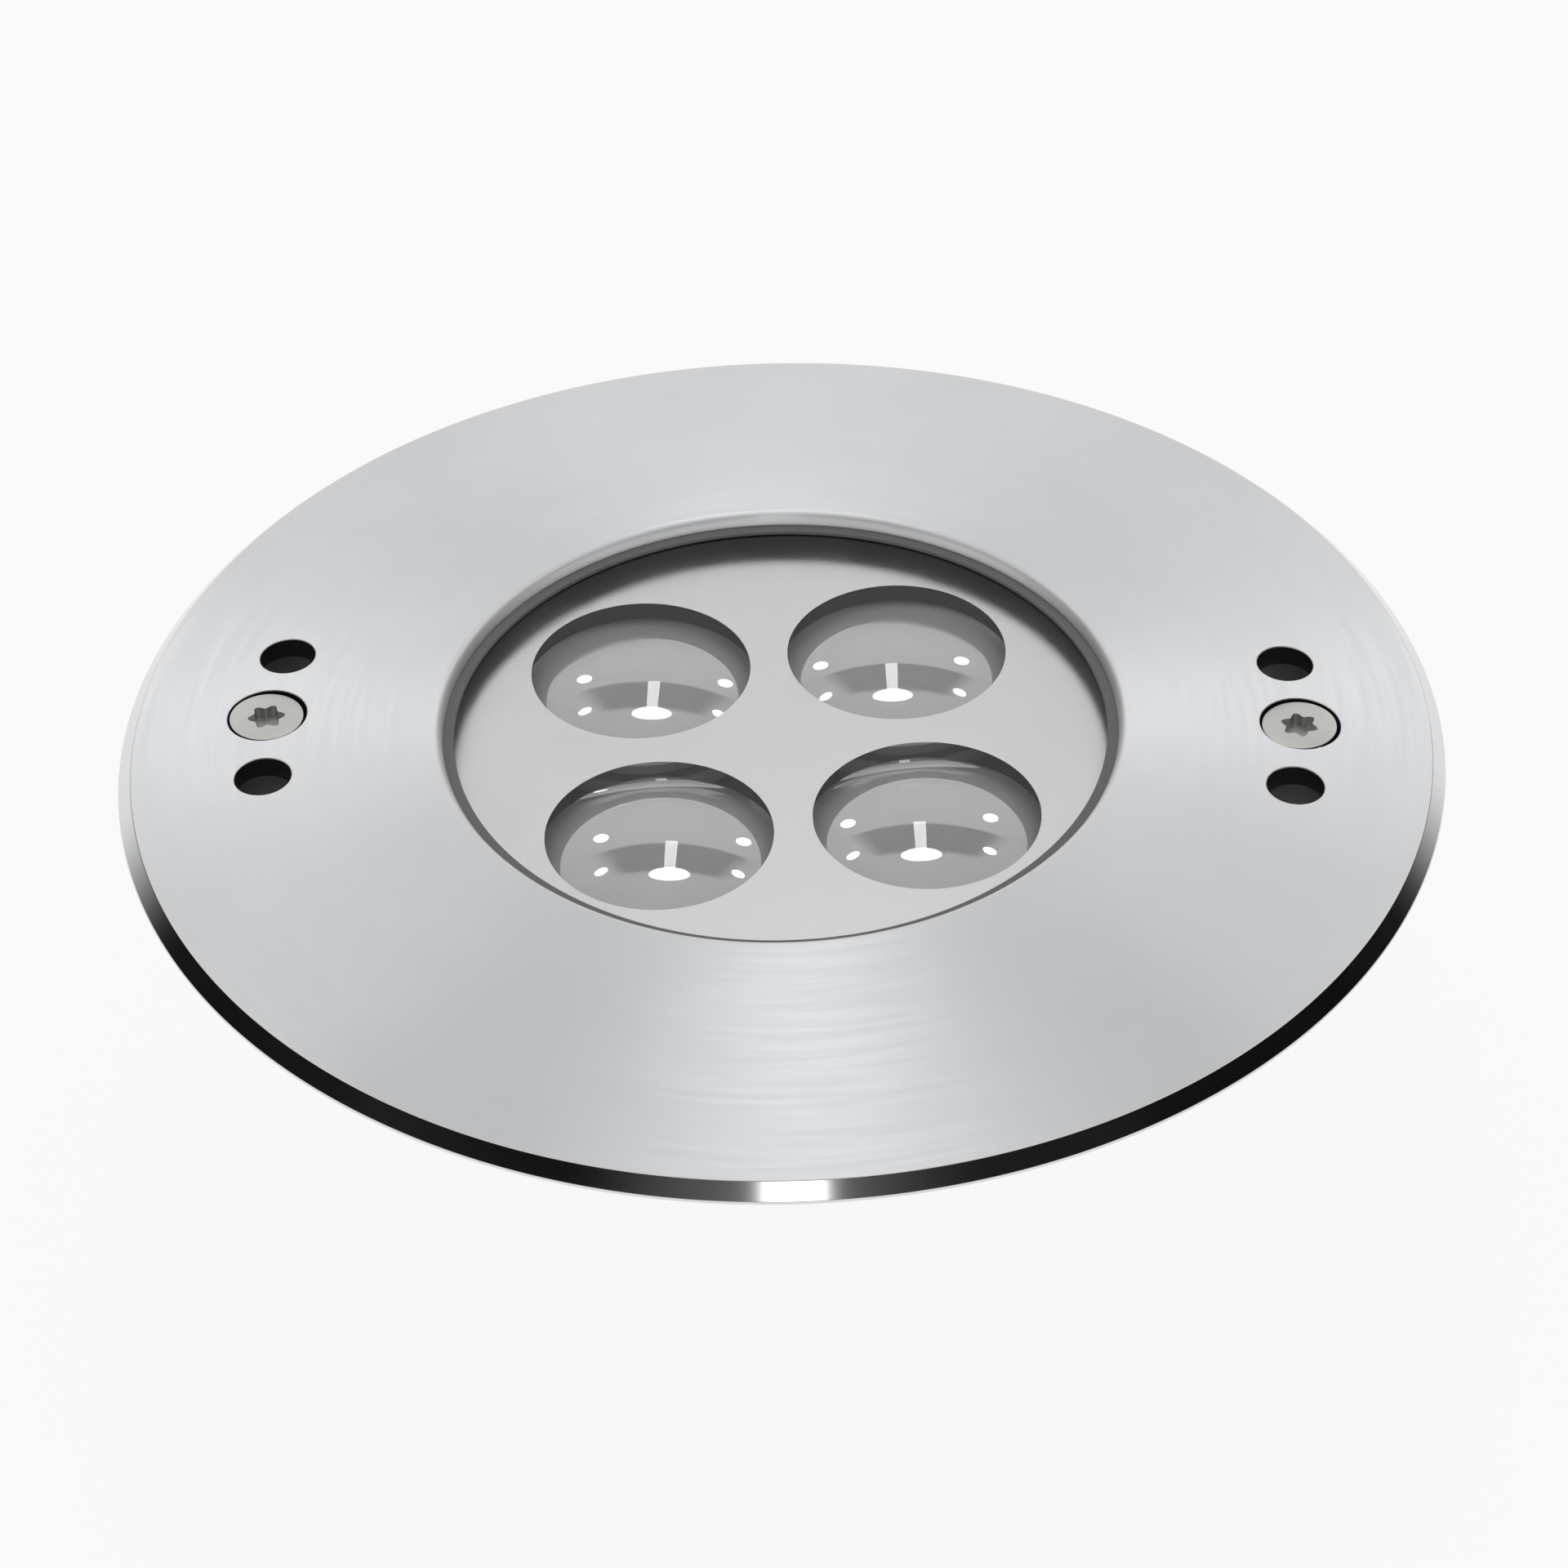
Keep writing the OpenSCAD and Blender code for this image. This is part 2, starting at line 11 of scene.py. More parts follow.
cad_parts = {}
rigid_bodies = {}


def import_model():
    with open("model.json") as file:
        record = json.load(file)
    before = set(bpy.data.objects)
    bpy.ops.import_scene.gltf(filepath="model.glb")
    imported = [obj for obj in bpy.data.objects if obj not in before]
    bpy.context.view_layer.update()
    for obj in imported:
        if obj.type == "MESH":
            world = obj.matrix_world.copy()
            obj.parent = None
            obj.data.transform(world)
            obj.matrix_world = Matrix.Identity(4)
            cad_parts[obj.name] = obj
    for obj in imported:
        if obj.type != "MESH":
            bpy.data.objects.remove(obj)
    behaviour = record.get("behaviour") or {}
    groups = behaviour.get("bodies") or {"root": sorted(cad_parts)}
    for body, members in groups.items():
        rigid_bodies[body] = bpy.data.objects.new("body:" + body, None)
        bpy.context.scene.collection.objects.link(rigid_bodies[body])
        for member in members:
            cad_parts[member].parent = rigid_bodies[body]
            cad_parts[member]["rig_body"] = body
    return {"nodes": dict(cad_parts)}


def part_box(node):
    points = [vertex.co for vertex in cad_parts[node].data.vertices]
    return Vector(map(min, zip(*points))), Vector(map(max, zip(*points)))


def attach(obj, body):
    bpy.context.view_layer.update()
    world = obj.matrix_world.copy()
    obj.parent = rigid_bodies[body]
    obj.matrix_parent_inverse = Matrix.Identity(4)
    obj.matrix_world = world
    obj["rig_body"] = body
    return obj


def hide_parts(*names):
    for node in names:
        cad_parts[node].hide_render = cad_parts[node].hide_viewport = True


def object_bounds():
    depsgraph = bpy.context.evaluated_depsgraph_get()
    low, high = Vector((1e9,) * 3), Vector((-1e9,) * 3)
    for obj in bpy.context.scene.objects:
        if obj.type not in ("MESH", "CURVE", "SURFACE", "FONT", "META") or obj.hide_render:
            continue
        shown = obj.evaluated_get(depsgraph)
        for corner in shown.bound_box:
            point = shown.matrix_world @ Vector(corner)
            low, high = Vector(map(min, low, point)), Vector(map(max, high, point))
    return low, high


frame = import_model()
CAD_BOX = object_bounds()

bl_info = {
    "name": "Underwater light",
    "version": (1, 0, 0),
    "blender": (4, 5, 0),
    "location": "3D View > Sidebar > Light",
    "description": "Builds a recessed underwater light round its packed model, and its studio",
    "category": "Object",
}

MM = 0.001
BEZEL_LOW, BEZEL_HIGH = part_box("front_bezel")
SCREW_LOW, SCREW_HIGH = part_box("right_fixing_screw")
WASHER_LOW, _WASHER_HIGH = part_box("right_captive_washer")
STUDS_LOW, STUDS_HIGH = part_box("bezel_studs")
_MASK_LOW, MASK_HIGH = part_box("mask_plate")
GASKET_LOW, GASKET_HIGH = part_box("front_gasket")
SCREW_CENTRE = (SCREW_LOW + SCREW_HIGH) / 2
SIDES = (("left", -1), ("right", 1))
LENS_COUNT = 4
SMOOTH_ANGLE = math.radians(28)
MERGE = 1e-7


def length(name, description, default):
    """A size in metres."""
    return FloatProperty(
        name=name, description=description, default=default, precision=5, unit="LENGTH", subtype="DISTANCE"
    )


def angle(name, description, degrees):
    """An angle, given here in degrees."""
    return FloatProperty(name=name, description=description, default=math.radians(degrees), subtype="ANGLE")


def colour(name, description, default):
    """A linear colour."""
    return FloatVectorProperty(
        name=name, description=description, default=default, size=3, min=0, max=1, subtype="COLOR"
    )


def number(name, description, default):
    """A plain number, such as a focal length or a strength."""
    return FloatProperty(name=name, description=description, default=default, precision=3)


class BezelSizes(bpy.types.PropertyGroup):
    """Sizes of the turned bezel, its recesses and its water holes."""

    opening_radius: length("Opening radius", "Radius of the window opening at its lip's crest", 52.7 * MM)
    bevel: length("Rim bevel", "Width and height of the 45 degree bevel round the rim", 2.1 * MM)
    face_rise: length("Face rise", "Rise of the dished face from the rim to the opening", 2 * MM)
    lip_depth: length("Lip depth", "Depth of the opening from its lip to the glass gasket", 1.9 * MM)
    lip_round: length("Lip rounding", "Radius between the face and the opening's wall", 1.3 * MM)
    lip_lean: angle("Lip lean", "Lean of the opening's wall, by which the opening narrows", 27)
    throat_land: length("Throat land", "Height of the upright edge at the opening's foot", 0.3 * MM)
    edge_round: length("Edge rounding", "Size of the rounding on the rim's turned edges", 0.12 * MM)
    rabbet_radius: length("Rabbet radius", "Radius of the rabbet behind the opening", 59.6 * MM)
    hole_chamfer: length("Hole chamfer", "Chamfer round the recesses and the water holes", 0.12 * MM)
    recess_radius: length("Recess radius", "Radius of a fixing screw's recess", 6.1 * MM)
    recess_play: length("Recess play", "How far the recesses lie to the right of the screws", 0.12 * MM)
    head_gap: length("Head gap", "Gap between a screw's countersunk head and its recess", 0.15 * MM)
    screw_hole_radius: length("Screw hole radius", "Radius of the hole for a fixing screw", 3.3 * MM)
    water_hole_radius: length("Water hole radius", "Radius of a circulation hole", 4.3 * MM)
    water_hole_offset: length("Water hole offset", "Distance of the holes from the screws' line", 14.7 * MM)
    steps: IntProperty(name="Steps", description="Steps in a full turn", default=360, min=48, max=1440)


class GasketSizes(bpy.types.PropertyGroup):
    """Sizes of the glass gasket and the thin lip that it lays on the glass, a grey ring that stands in for
    the shade round the opening's foot.
    """

    seat_radius: length("Seat radius", "Inner radius of the part pressed by the bezel", 51.24 * MM)
    shade_lip_radius: length("Lip radius", "Inner radius of the lip on the glass", 49.4 * MM)
    shade_lip_height: length("Lip height", "Thickness of the lip on the glass", 0.55 * MM)


class ScrewSizes(bpy.types.PropertyGroup):
    """Sizes of the fixing screws and of the clamping studs' threads."""

    head_radius: length("Head radius", "Radius of the countersunk head", 5.65 * MM)
    head_land: length("Head land", "Height of the straight edge under the head's top", 0.35 * MM)
    neck_radius: length("Neck radius", "Radius of a fixing screw's neck over its thread", 2.6 * MM)
    thread_radius: length("Thread radius", "Radius over a fixing screw's thread", 3 * MM)
    tip: length("Tip", "Chamfer at a fixing screw's tip", 0.8 * MM)
    thread_pitch: length("Thread pitch", "Rise of a fixing screw's thread in one turn", 1 * MM)
    stud_radius: length("Stud radius", "Radius over a clamping stud's thread", 2 * MM)
    stud_pitch: length("Stud pitch", "Rise of a stud's thread in one turn", 0.7 * MM)
    stud_circle: length("Stud circle", "Radius of the circle through the clamping studs", 65.3 * MM)
    stud_count: IntProperty(name="Studs", description="Number of clamping studs", default=6, min=3, max=12)
    socket_radius: length("Socket radius", "Mean radius of the six-lobed socket", 2.455 * MM)
    socket_lobe: length("Socket lobe", "How far a lobe stands out of the mean radius", 0.395 * MM)
    socket_depth: length("Socket depth", "Depth of the socket's straight wall", 1.9 * MM)
    point_depth: length("Point depth", "Depth of the drill point under the socket", 0.7 * MM)
    left_turn: angle("Left turn", "Turn of the left screw's socket", 12)
    right_turn: angle("Right turn", "Turn of the right screw's socket", -20)


class LensSizes(bpy.types.PropertyGroup):
    """Sizes of the four collimating lenses."""

    circle_radius: length("Lens circle", "Distance of a lens from the light's axis", 28.2 * MM)
    turn: angle("Turn", "Turn of the lens square against the screws", 7.5)
    radius: length("Radius", "Radius of a lens over its rim", 18.5 * MM)
    dome_radius: length("Dome radius", "Radius of the domed front", 48 * MM)
    rim: length("Rim", "Height of the mounting rim", 4.1 * MM)
    height: length("Collimator height", "Height of the parabolic body", 14 * MM)
    body_radius: length("Body radius", "Radius of the parabolic body under the rim", 16.5 * MM)
    foot_radius: length("Foot radius", "Radius of the parabolic body's foot", 6 * MM)
    pocket_radius: length("Pocket radius", "Radius of the pocket over the LED", 4 * MM)
    pocket_depth: length("Pocket depth", "Depth of the pocket over the LED at its wall", 5 * MM)
    top_gap: length("Top gap", "Distance of the dome's crown below the mask's front", 0.5 * MM)
    steps: IntProperty(name="Steps", description="Steps in a full turn", default=160, min=32, max=360)


class Finishes(bpy.types.PropertyGroup):
    """Colours of the finishes; the holes' walls are painted shade, and the glass gasket's grey is partly
    painted shade.
    """

    bezel: colour("Bezel", "Turned and brushed stainless steel", (0.715, 0.725, 0.737))
    # painted shade: the recesses' and holes' walls are made near black to stand in for the shade inside them
    painted_hole_shade: colour("Hole walls in painted shade", "Steel of the recesses and holes, painted near black as their shade", (0.006, 0.006, 0.007))
    fixing: colour("Fixing screws", "Blasted stainless steel", (0.56, 0.555, 0.53))
    fastener: colour("Fasteners", "Machined stainless steel", (0.62, 0.62, 0.62))
    housing: colour("Housing", "Turned stainless steel", (0.58, 0.585, 0.59))
    mask: colour("Mask", "Satin metallic grey plate over the lenses", (0.63, 0.632, 0.633))
    rubber: colour("Rubber", "Black gasket rubber", (0.012, 0.012, 0.014))
    # partly painted shade: the gasket's grey also stands in for the shade round the opening's foot, seen on
    # its lip
    gasket: colour("Glass gasket", "Grey silicone, its tone partly painted shade", (0.16, 0.163, 0.165))
    glass: colour("Glass", "Window glass", (0.99, 0.992, 0.99))
    lens: colour("Lens", "Milky acrylic", (0.55, 0.553, 0.558))
    holder: colour("Lens holder", "Black moulded plastic", (0.02, 0.021, 0.023))
    silver: colour("Silvered cup", "Silver lacquer inside a lens holder", (0.6, 0.61, 0.62))


class StageSettings(bpy.types.PropertyGroup):
    """The camera, the lamps and the floor."""

    camera_distance: length("Camera distance", "Distance of the camera from the light's centre", 646.42 * MM)
    camera_height: angle("Camera height", "Angle of the camera over the bezel's plane", 38.984)
    camera_side: angle("Camera side", "Turn of the camera towards the right screw", 3.071)
    camera_roll: angle("Camera roll", "Roll of the camera", -1.434)
    target_x: length("Target X", "Where the camera looks, towards the right screw", 0.654 * MM)
    target_y: length("Target Y", "Where the camera looks, away from the camera", -6.456 * MM)
    lens_mm: number("Lens", "Focal length in millimetres on a 36 mm sensor", 97.42)
    daylight: number("Fill", "Strength of the even light from all round", 0.55)
    backdrop: colour("Backdrop", "Colour of the backdrop and the floor", (1, 1, 1))


# Mesh making


def turned(points, rounds=(), steps=96):
    """Turns a closed section of (radius, height) points round the Z axis.

    Rounds holds a corner's number, the size of its rounding and its segments.
    """
    bm = bmesh.new()
    corners = [bm.verts.new((radius, 0, height)) for radius, height in points]
    bm.faces.new(corners)
    for corner, size, segments in rounds:
        bmesh.ops.bevel(
            bm, geom=[corners[corner]], offset=size, offset_type="OFFSET", segments=segments, profile=0.5,
            affect="VERTICES", material=-1, clamp_overlap=True,
        )
    bmesh.ops.delete(bm, geom=bm.faces[:], context="FACES_ONLY")
    wall = [e for e in bm.edges if max(v.co.x for v in e.verts) > MERGE]
    bmesh.ops.spin(
        bm, geom=bm.verts[:] + wall, cent=(0, 0, 0), axis=(0, 0, 1), dvec=(0, 0, 0), angle=math.tau,
        steps=steps, use_merge=True, use_normal_flip=False, use_duplicate=False,
    )
    bmesh.ops.delete(bm, geom=[e for e in bm.edges if not e.link_faces], context="EDGES")
    bmesh.ops.remove_doubles(bm, verts=bm.verts[:], dist=MERGE)
    bmesh.ops.recalc_face_normals(bm, faces=bm.faces[:])
    return bm


def arc(centre, radius, start, end, count):
    """Points of an arc in a section, from one angle over the horizontal to another."""
    steps = [start + (end - start) * i / count for i in range(count + 1)]
    return [(centre[0] + radius * math.cos(a), centre[1] + radius * math.sin(a)) for a in steps]


def threaded(radius, pitch, low, high):
    """A rod with a thread: one tooth wound up the Z axis, then cut square at both ends."""
    per_turn = 48
    depth = 0.6 * pitch
    crest = 0.07 * pitch
    bm = bmesh.new()
    tooth = [(radius - depth, -pitch / 2), (radius, -crest), (radius, crest), (radius - depth, pitch / 2)]
    chain = [bm.verts.new((r, 0, low - pitch + z)) for r, z in tooth]
    for a, b in zip(chain, chain[1:]):
        bm.edges.new((a, b))
    turns = math.ceil((high - low) / pitch) + 2
    bmesh.ops.spin(
        bm, geom=bm.verts[:] + bm.edges[:], cent=(0, 0, 0), axis=(0, 0, 1), dvec=(0, 0, pitch / per_turn),
        angle=math.tau * turns, steps=turns * per_turn, use_merge=False, use_normal_flip=False,
        use_duplicate=False,
    )
    bmesh.ops.remove_doubles(bm, verts=bm.verts[:], dist=MERGE)
    for height, side in ((low, -1), (high, 1)):
        bmesh.ops.bisect_plane(
            bm, geom=bm.verts[:] + bm.edges[:] + bm.faces[:], dist=MERGE, plane_co=(0, 0, height),
            plane_no=(0, 0, side), clear_outer=True, clear_inner=False,
        )
    bmesh.ops.holes_fill(bm, edges=[e for e in bm.edges if e.is_boundary], sides=0)
    bmesh.ops.recalc_face_normals(bm, faces=bm.faces[:])
    return bm


def socket_cutter(sizes, top):
    """Six-lobed socket with a drill-point floor, as a cutter that ends just over the head's top."""
    over = 0.5 * MM
    lobes = 6
    wall_taper, point_taper = 0.96, 0.15
    bm = bmesh.new()
    bmesh.ops.create_circle(bm, cap_ends=True, cap_tris=False, segments=120, radius=sizes.socket_radius)
    for v in bm.verts:
        lobe = sizes.socket_lobe * math.cos(lobes * math.atan2(v.co.y, v.co.x))
        v.co *= (sizes.socket_radius + lobe) / sizes.socket_radius
        v.co.z = top + over
    end = bm.faces[:]
    for drop, scale in ((over + sizes.socket_depth, wall_taper), (sizes.point_depth, point_taper)):
        grown = bmesh.ops.extrude_face_region(bm, geom=end)["geom"]
        end = [g for g in grown if isinstance(g, bmesh.types.BMFace)]
        ring = [g for g in grown if isinstance(g, bmesh.types.BMVert)]
        bmesh.ops.scale(bm, verts=ring, vec=(scale, scale, 1))
        bmesh.ops.translate(bm, verts=ring, vec=(0, 0, -drop))
    bmesh.ops.recalc_face_normals(bm, faces=bm.faces[:])
    return bm


def moved(bm, place, turn=0.0):
    """Turns a mesh about the Z axis, then moves it."""
    bmesh.ops.rotate(bm, verts=bm.verts[:], cent=(0, 0, 0), matrix=Matrix.Rotation(turn, 3, "Z"))
    bmesh.ops.translate(bm, verts=bm.verts[:], vec=place)
    return bm


def copies(bm, places):
    """Copies a mesh to several places given as matrices, in one mesh; the first mesh is freed."""
    scratch = bpy.data.meshes.new("scratch")
    bm.to_mesh(scratch)
    bm.free()
    joined = bmesh.new()
    for place in places:
        before = len(joined.verts)
        joined.from_mesh(scratch)
        joined.verts.ensure_lookup_table()
        bmesh.ops.transform(joined, matrix=place, verts=joined.verts[before:])
    bpy.data.meshes.remove(scratch)
    return joined


def joined_meshes(meshes):
    """Several meshes in one, without any cut between them."""
    whole = bmesh.new()
    for bm in meshes:
        scratch = bpy.data.meshes.new("scratch")
        bm.to_mesh(scratch)
        bm.free()
        whole.from_mesh(scratch)
        bpy.data.meshes.remove(scratch)
    return whole


def loose_object(bm, name="scratch"):
    """A mesh object made from a bmesh, which is freed."""
    mesh = bpy.data.meshes.new(name)
    bm.to_mesh(mesh)
    bm.free()
    made = bpy.data.objects.new(name, mesh)
    bpy.context.scene.collection.objects.link(made)
    return made


def combined(bm, others, operation="DIFFERENCE"):
    """Cuts other meshes out of one, or joins or intersects them, and gives the result as a bmesh."""
    body = loose_object(bm)
    tools = [loose_object(other) for other in others]
    for tool in tools:
        step = body.modifiers.new("step", "BOOLEAN")
        step.object = tool
        step.operation = operation
        step.solver = "EXACT"
    graph = bpy.context.evaluated_depsgraph_get()
    result = bmesh.new()
    result.from_object(body, graph)
    for scratch in [body, *tools]:
        mesh = scratch.data
        bpy.data.objects.remove(scratch)
        bpy.data.meshes.remove(mesh)
    bmesh.ops.remove_doubles(result, verts=result.verts[:], dist=MERGE)
    bmesh.ops.dissolve_degenerate(result, edges=result.edges[:], dist=MERGE)
    return result


def piece(name, bm, materials, node):
    """Makes a finished piece that rides with a CAD node's body, and hides the node, whose place it takes."""
    made = loose_object(bm, name)
    made.data.polygons.foreach_set("use_smooth", [True] * len(made.data.polygons))
    made.data.set_sharp_from_angle(angle=SMOOTH_ANGLE)
    for material in materials:
        made.data.materials.append(material)
    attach(made, frame["nodes"][node]["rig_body"])
    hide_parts(node)


def dress(material, *nodes):
    """Gives CAD nodes a finish."""
    for node in nodes:
        frame["nodes"][node].data.materials[0] = material


# Node trees


def put(tree, kind, inputs=None, **settings):
    """Adds a node, sets its properties, and links or sets its inputs."""
    made = tree.nodes.new(kind)
    for key, value in settings.items():
        setattr(made, key, value)
    for key, value in (inputs or {}).items():
        if isinstance(value, bpy.types.NodeSocket):
            tree.links.new(value, made.inputs[key])
        else:
            made.inputs[key].default_value = value
    return made


def maths(tree, operation, first, second=None):
    """The output of one Math node."""
    given = {0: first} if second is None else {0: first, 1: second}
    return put(tree, "ShaderNodeMath", given, operation=operation).outputs[0]


def vector_maths(tree, operation, first, second=None):
    """One Vector Math node."""
    given = {0: first} if second is None else {0: first, 1: second}
    return put(tree, "ShaderNodeVectorMath", given, operation=operation)


def ramp(tree, value, low, high, out_low=0.0, out_high=1.0):
    """A smooth step of a value."""
    if low > high:
        low, high, out_low, out_high = high, low, out_high, out_low
    inputs = {"Value": value, "From Min": low, "From Max": high, "To Min": out_low, "To Max": out_high}
    made = put(tree, "ShaderNodeMapRange", inputs, interpolation_type="SMOOTHSTEP", clamp=True)
    return made.outputs["Result"]


def blend(tree, factor, first, second):
    """A mix of two numbers."""
    return put(tree, "ShaderNodeMix", {0: factor, 2: first, 3: second}).outputs[0]


def mixed(tree, factor, first, second):
    """A mix of two colours."""
    made = put(tree, "ShaderNodeMix", data_type="RGBA")
    for key, value in ((0, factor), (6, first), (7, second)):
        if isinstance(value, bpy.types.NodeSocket):
            tree.links.new(value, made.inputs[key])
        else:
            made.inputs[key].default_value = value if key == 0 else (*value[:3], 1)
    return made.outputs[2]


def new_group(name, inputs, outputs):
    """A shader node group with named sockets; gives its tree, its input node and its output node."""
    tree = bpy.data.node_groups.new(name, "ShaderNodeTree")
    for socket, kind, default in inputs:
        made = tree.interface.new_socket(socket, in_out="INPUT", socket_type=kind)
        if default is not None:
            made.default_value = default
    for socket, kind in outputs:
        tree.interface.new_socket(socket, in_out="OUTPUT", socket_type=kind)
    return tree, tree.nodes.new("NodeGroupInput"), tree.nodes.new("NodeGroupOutput")


def turning_marks_group():
    """Fine circular tool marks about the Z axis, broken up along the circle."""
    tree, given, out = new_group(
        "Turning marks",
        [
            ("Vector", "NodeSocketVector", None), ("Lines", "NodeSocketFloat", 9000.0),
            ("Break", "NodeSocketFloat", 3.0),
        ],
        [("Height", "NodeSocketFloat"), ("Streak", "NodeSocketFloat")],
    )
    parts = put(tree, "ShaderNodeSeparateXYZ", {0: given.outputs["Vector"]})
    flat = put(tree, "ShaderNodeCombineXYZ", {"X": parts.outputs["X"], "Y": parts.outputs["Y"]}).outputs[0]
    radius = vector_maths(tree, "LENGTH", flat).outputs["Value"]
    around = vector_maths(tree, "NORMALIZE", flat).outputs["Vector"]
    breaks = {0: around, "Scale": given.outputs["Break"]}
    drift = put(tree, "ShaderNodeVectorMath", breaks, operation="SCALE")
    across = maths(tree, "ADD", radius, parts.outputs["Z"])
    lines = maths(tree, "MULTIPLY", across, given.outputs["Lines"])
    lift = put(tree, "ShaderNodeCombineXYZ", {"Z": lines}).outputs[0]
    place = vector_maths(tree, "ADD", drift.outputs["Vector"], lift).outputs["Vector"]
    fine = put(tree, "ShaderNodeTexNoise", {"Vector": place, "Scale": 1.0, "Detail": 4.0, "Roughness": 0.65})
    wider = (1.0, 1.0, 0.13)
    coarse_place = vector_maths(tree, "MULTIPLY", place, wider).outputs["Vector"]
    coarse = put(tree, "ShaderNodeTexNoise", {"Vector": coarse_place, "Scale": 1.0, "Detail": 3.0})
    tree.links.new(fine.outputs["Fac"], out.inputs["Height"])
    tree.links.new(coarse.outputs["Fac"], out.inputs["Streak"])
    return tree


def fine_grain_group():
    """Even fine grain, as on blasted metal, moulded plastic and rubber, with larger soft patches."""
    tree, given, out = new_group(
        "Fine grain",
        [
            ("Vector", "NodeSocketVector", None), ("Scale", "NodeSocketFloat", 4000.0),
            ("Patches", "NodeSocketFloat", 60.0),
        ],
        [("Height", "NodeSocketFloat"), ("Patch", "NodeSocketFloat")],
    )
    place, scale, patch_scale = [given.outputs[name] for name in ("Vector", "Scale", "Patches")]
    fine = put(
        tree, "ShaderNodeTexNoise", {"Vector": place, "Scale": scale, "Detail": 3.0, "Roughness": 0.6}
    )
    patches = put(
        tree, "ShaderNodeTexNoise", {"Vector": place, "Scale": patch_scale, "Detail": 4.0, "Roughness": 0.55}
    )
    tree.links.new(fine.outputs["Fac"], out.inputs["Height"])
    tree.links.new(patches.outputs["Fac"], out.inputs["Patch"])
    return tree


def studio_flag(tree, direction, height):
    """How far a dark flag hides the studio: a band round a leaning axis, over the floor, weaker in front."""
    flag_axis = (0.0, 0.482, 0.876)
    flag_middle = 0.38
    along = vector_maths(tree, "DOT_PRODUCT", direction, flag_axis).outputs["Value"]
    off_flag = maths(tree, "ABSOLUTE", maths(tree, "SUBTRACT", along, flag_middle))
    flag = ramp(tree, off_flag, 0.23, 0.11)
    above_floor = ramp(tree, height, -0.05, 0.2)
    sideways = put(tree, "ShaderNodeSeparateXYZ", {0: direction}).outputs["X"]
    beside_front = ramp(tree, maths(tree, "ABSOLUTE", sideways), 0.12, 0.42, 0.7, 1.0)
    return maths(tree, "MULTIPLY", maths(tree, "MULTIPLY", flag, above_floor), beside_front)


def studio_walls_group():
    """How bright the studio is in a direction: a banded back wall, sides, front, ceiling and a dark flag."""
    levels = ("Back low", "Back high", "Back band", "Sides", "Front low", "Front high", "Ceiling")
    inputs = [("Direction", "NodeSocketVector", None)] + [(name, "NodeSocketFloat", 1.0) for name in levels]
    tree, given, out = new_group("Studio walls", inputs, [("Level", "NodeSocketFloat")])
    back_low, back_high, back_band, sides, front_low, front_high, ceiling = [
        given.outputs[name] for name in levels
    ]
    direction = given.outputs["Direction"]
    height = put(tree, "ShaderNodeSeparateXYZ", {0: direction}).outputs["Z"]
    flat = vector_maths(tree, "MULTIPLY", direction, (1.0, 1.0, 0.0)).outputs["Vector"]
    bearing = vector_maths(tree, "NORMALIZE", flat).outputs["Vector"]
    towards_back = put(tree, "ShaderNodeSeparateXYZ", {0: bearing}).outputs["Y"]
    is_back = ramp(tree, towards_back, 0.5, 0.75)
    is_front = ramp(tree, towards_back, -0.35, -0.65)
    front = blend(tree, ramp(tree, height, 0.4, 0.5), front_low, front_high)
    round_low = blend(tree, is_front, blend(tree, is_back, sides, back_low), front)
    upright = vector_maths(tree, "MULTIPLY", direction, (0.0, 1.0, 1.0)).outputs["Vector"]
    steepness = vector_maths(tree, "NORMALIZE", upright).outputs["Vector"]
    slope = put(tree, "ShaderNodeSeparateXYZ", {0: steepness}).outputs["Z"]
    aside = maths(tree, "ABSOLUTE", put(tree, "ShaderNodeSeparateXYZ", {0: bearing}).outputs["X"])
    in_band = maths(tree, "MULTIPLY", ramp(tree, slope, 0.68, 0.7), ramp(tree, aside, 0.5, 0.35))
    back = blend(tree, in_band, back_high, back_band)
    round_high = blend(tree, is_front, blend(tree, is_back, sides, back), front)
    walls = blend(tree, ramp(tree, height, 0.575, 0.6), round_low, round_high)
    room = blend(tree, ramp(tree, slope, 0.83, 0.86), walls, ceiling)
    lit = maths(tree, "SUBTRACT", 1.0, studio_flag(tree, direction, height))
    tree.links.new(maths(tree, "MULTIPLY", room, lit), out.inputs["Level"])
    return tree


GROUP_MAKERS = {
    "Turning marks": turning_marks_group,
    "Fine grain": fine_grain_group,
    "Studio walls": studio_walls_group,
}


def group(tree, name, inputs):
    """Places a shared group, which is made the first time."""
    shared = bpy.data.node_groups.get(name) or GROUP_MAKERS[name]()
    made = put(tree, "ShaderNodeGroup", node_tree=shared)
    for key, value in inputs.items():
        if isinstance(value, bpy.types.NodeSocket):
            tree.links.new(value, made.inputs[key])
        else:
            made.inputs[key].default_value = value
    return made


def new_material(name):
    """A material with a Principled shader; gives it, its tree, the shader and the object coordinates."""
    material = bpy.data.materials.new(name)
    material.use_nodes = True
    tree = material.node_tree
    shader = next(n for n in tree.nodes if n.type == "BSDF_PRINCIPLED")
    place = put(tree, "ShaderNodeTexCoord").outputs["Object"]
    return material, tree, shader, place


def shade(rgb, factor):
    """A darker or lighter shade of a colour."""
    return tuple(min(1.0, c * factor) for c in rgb[:3])


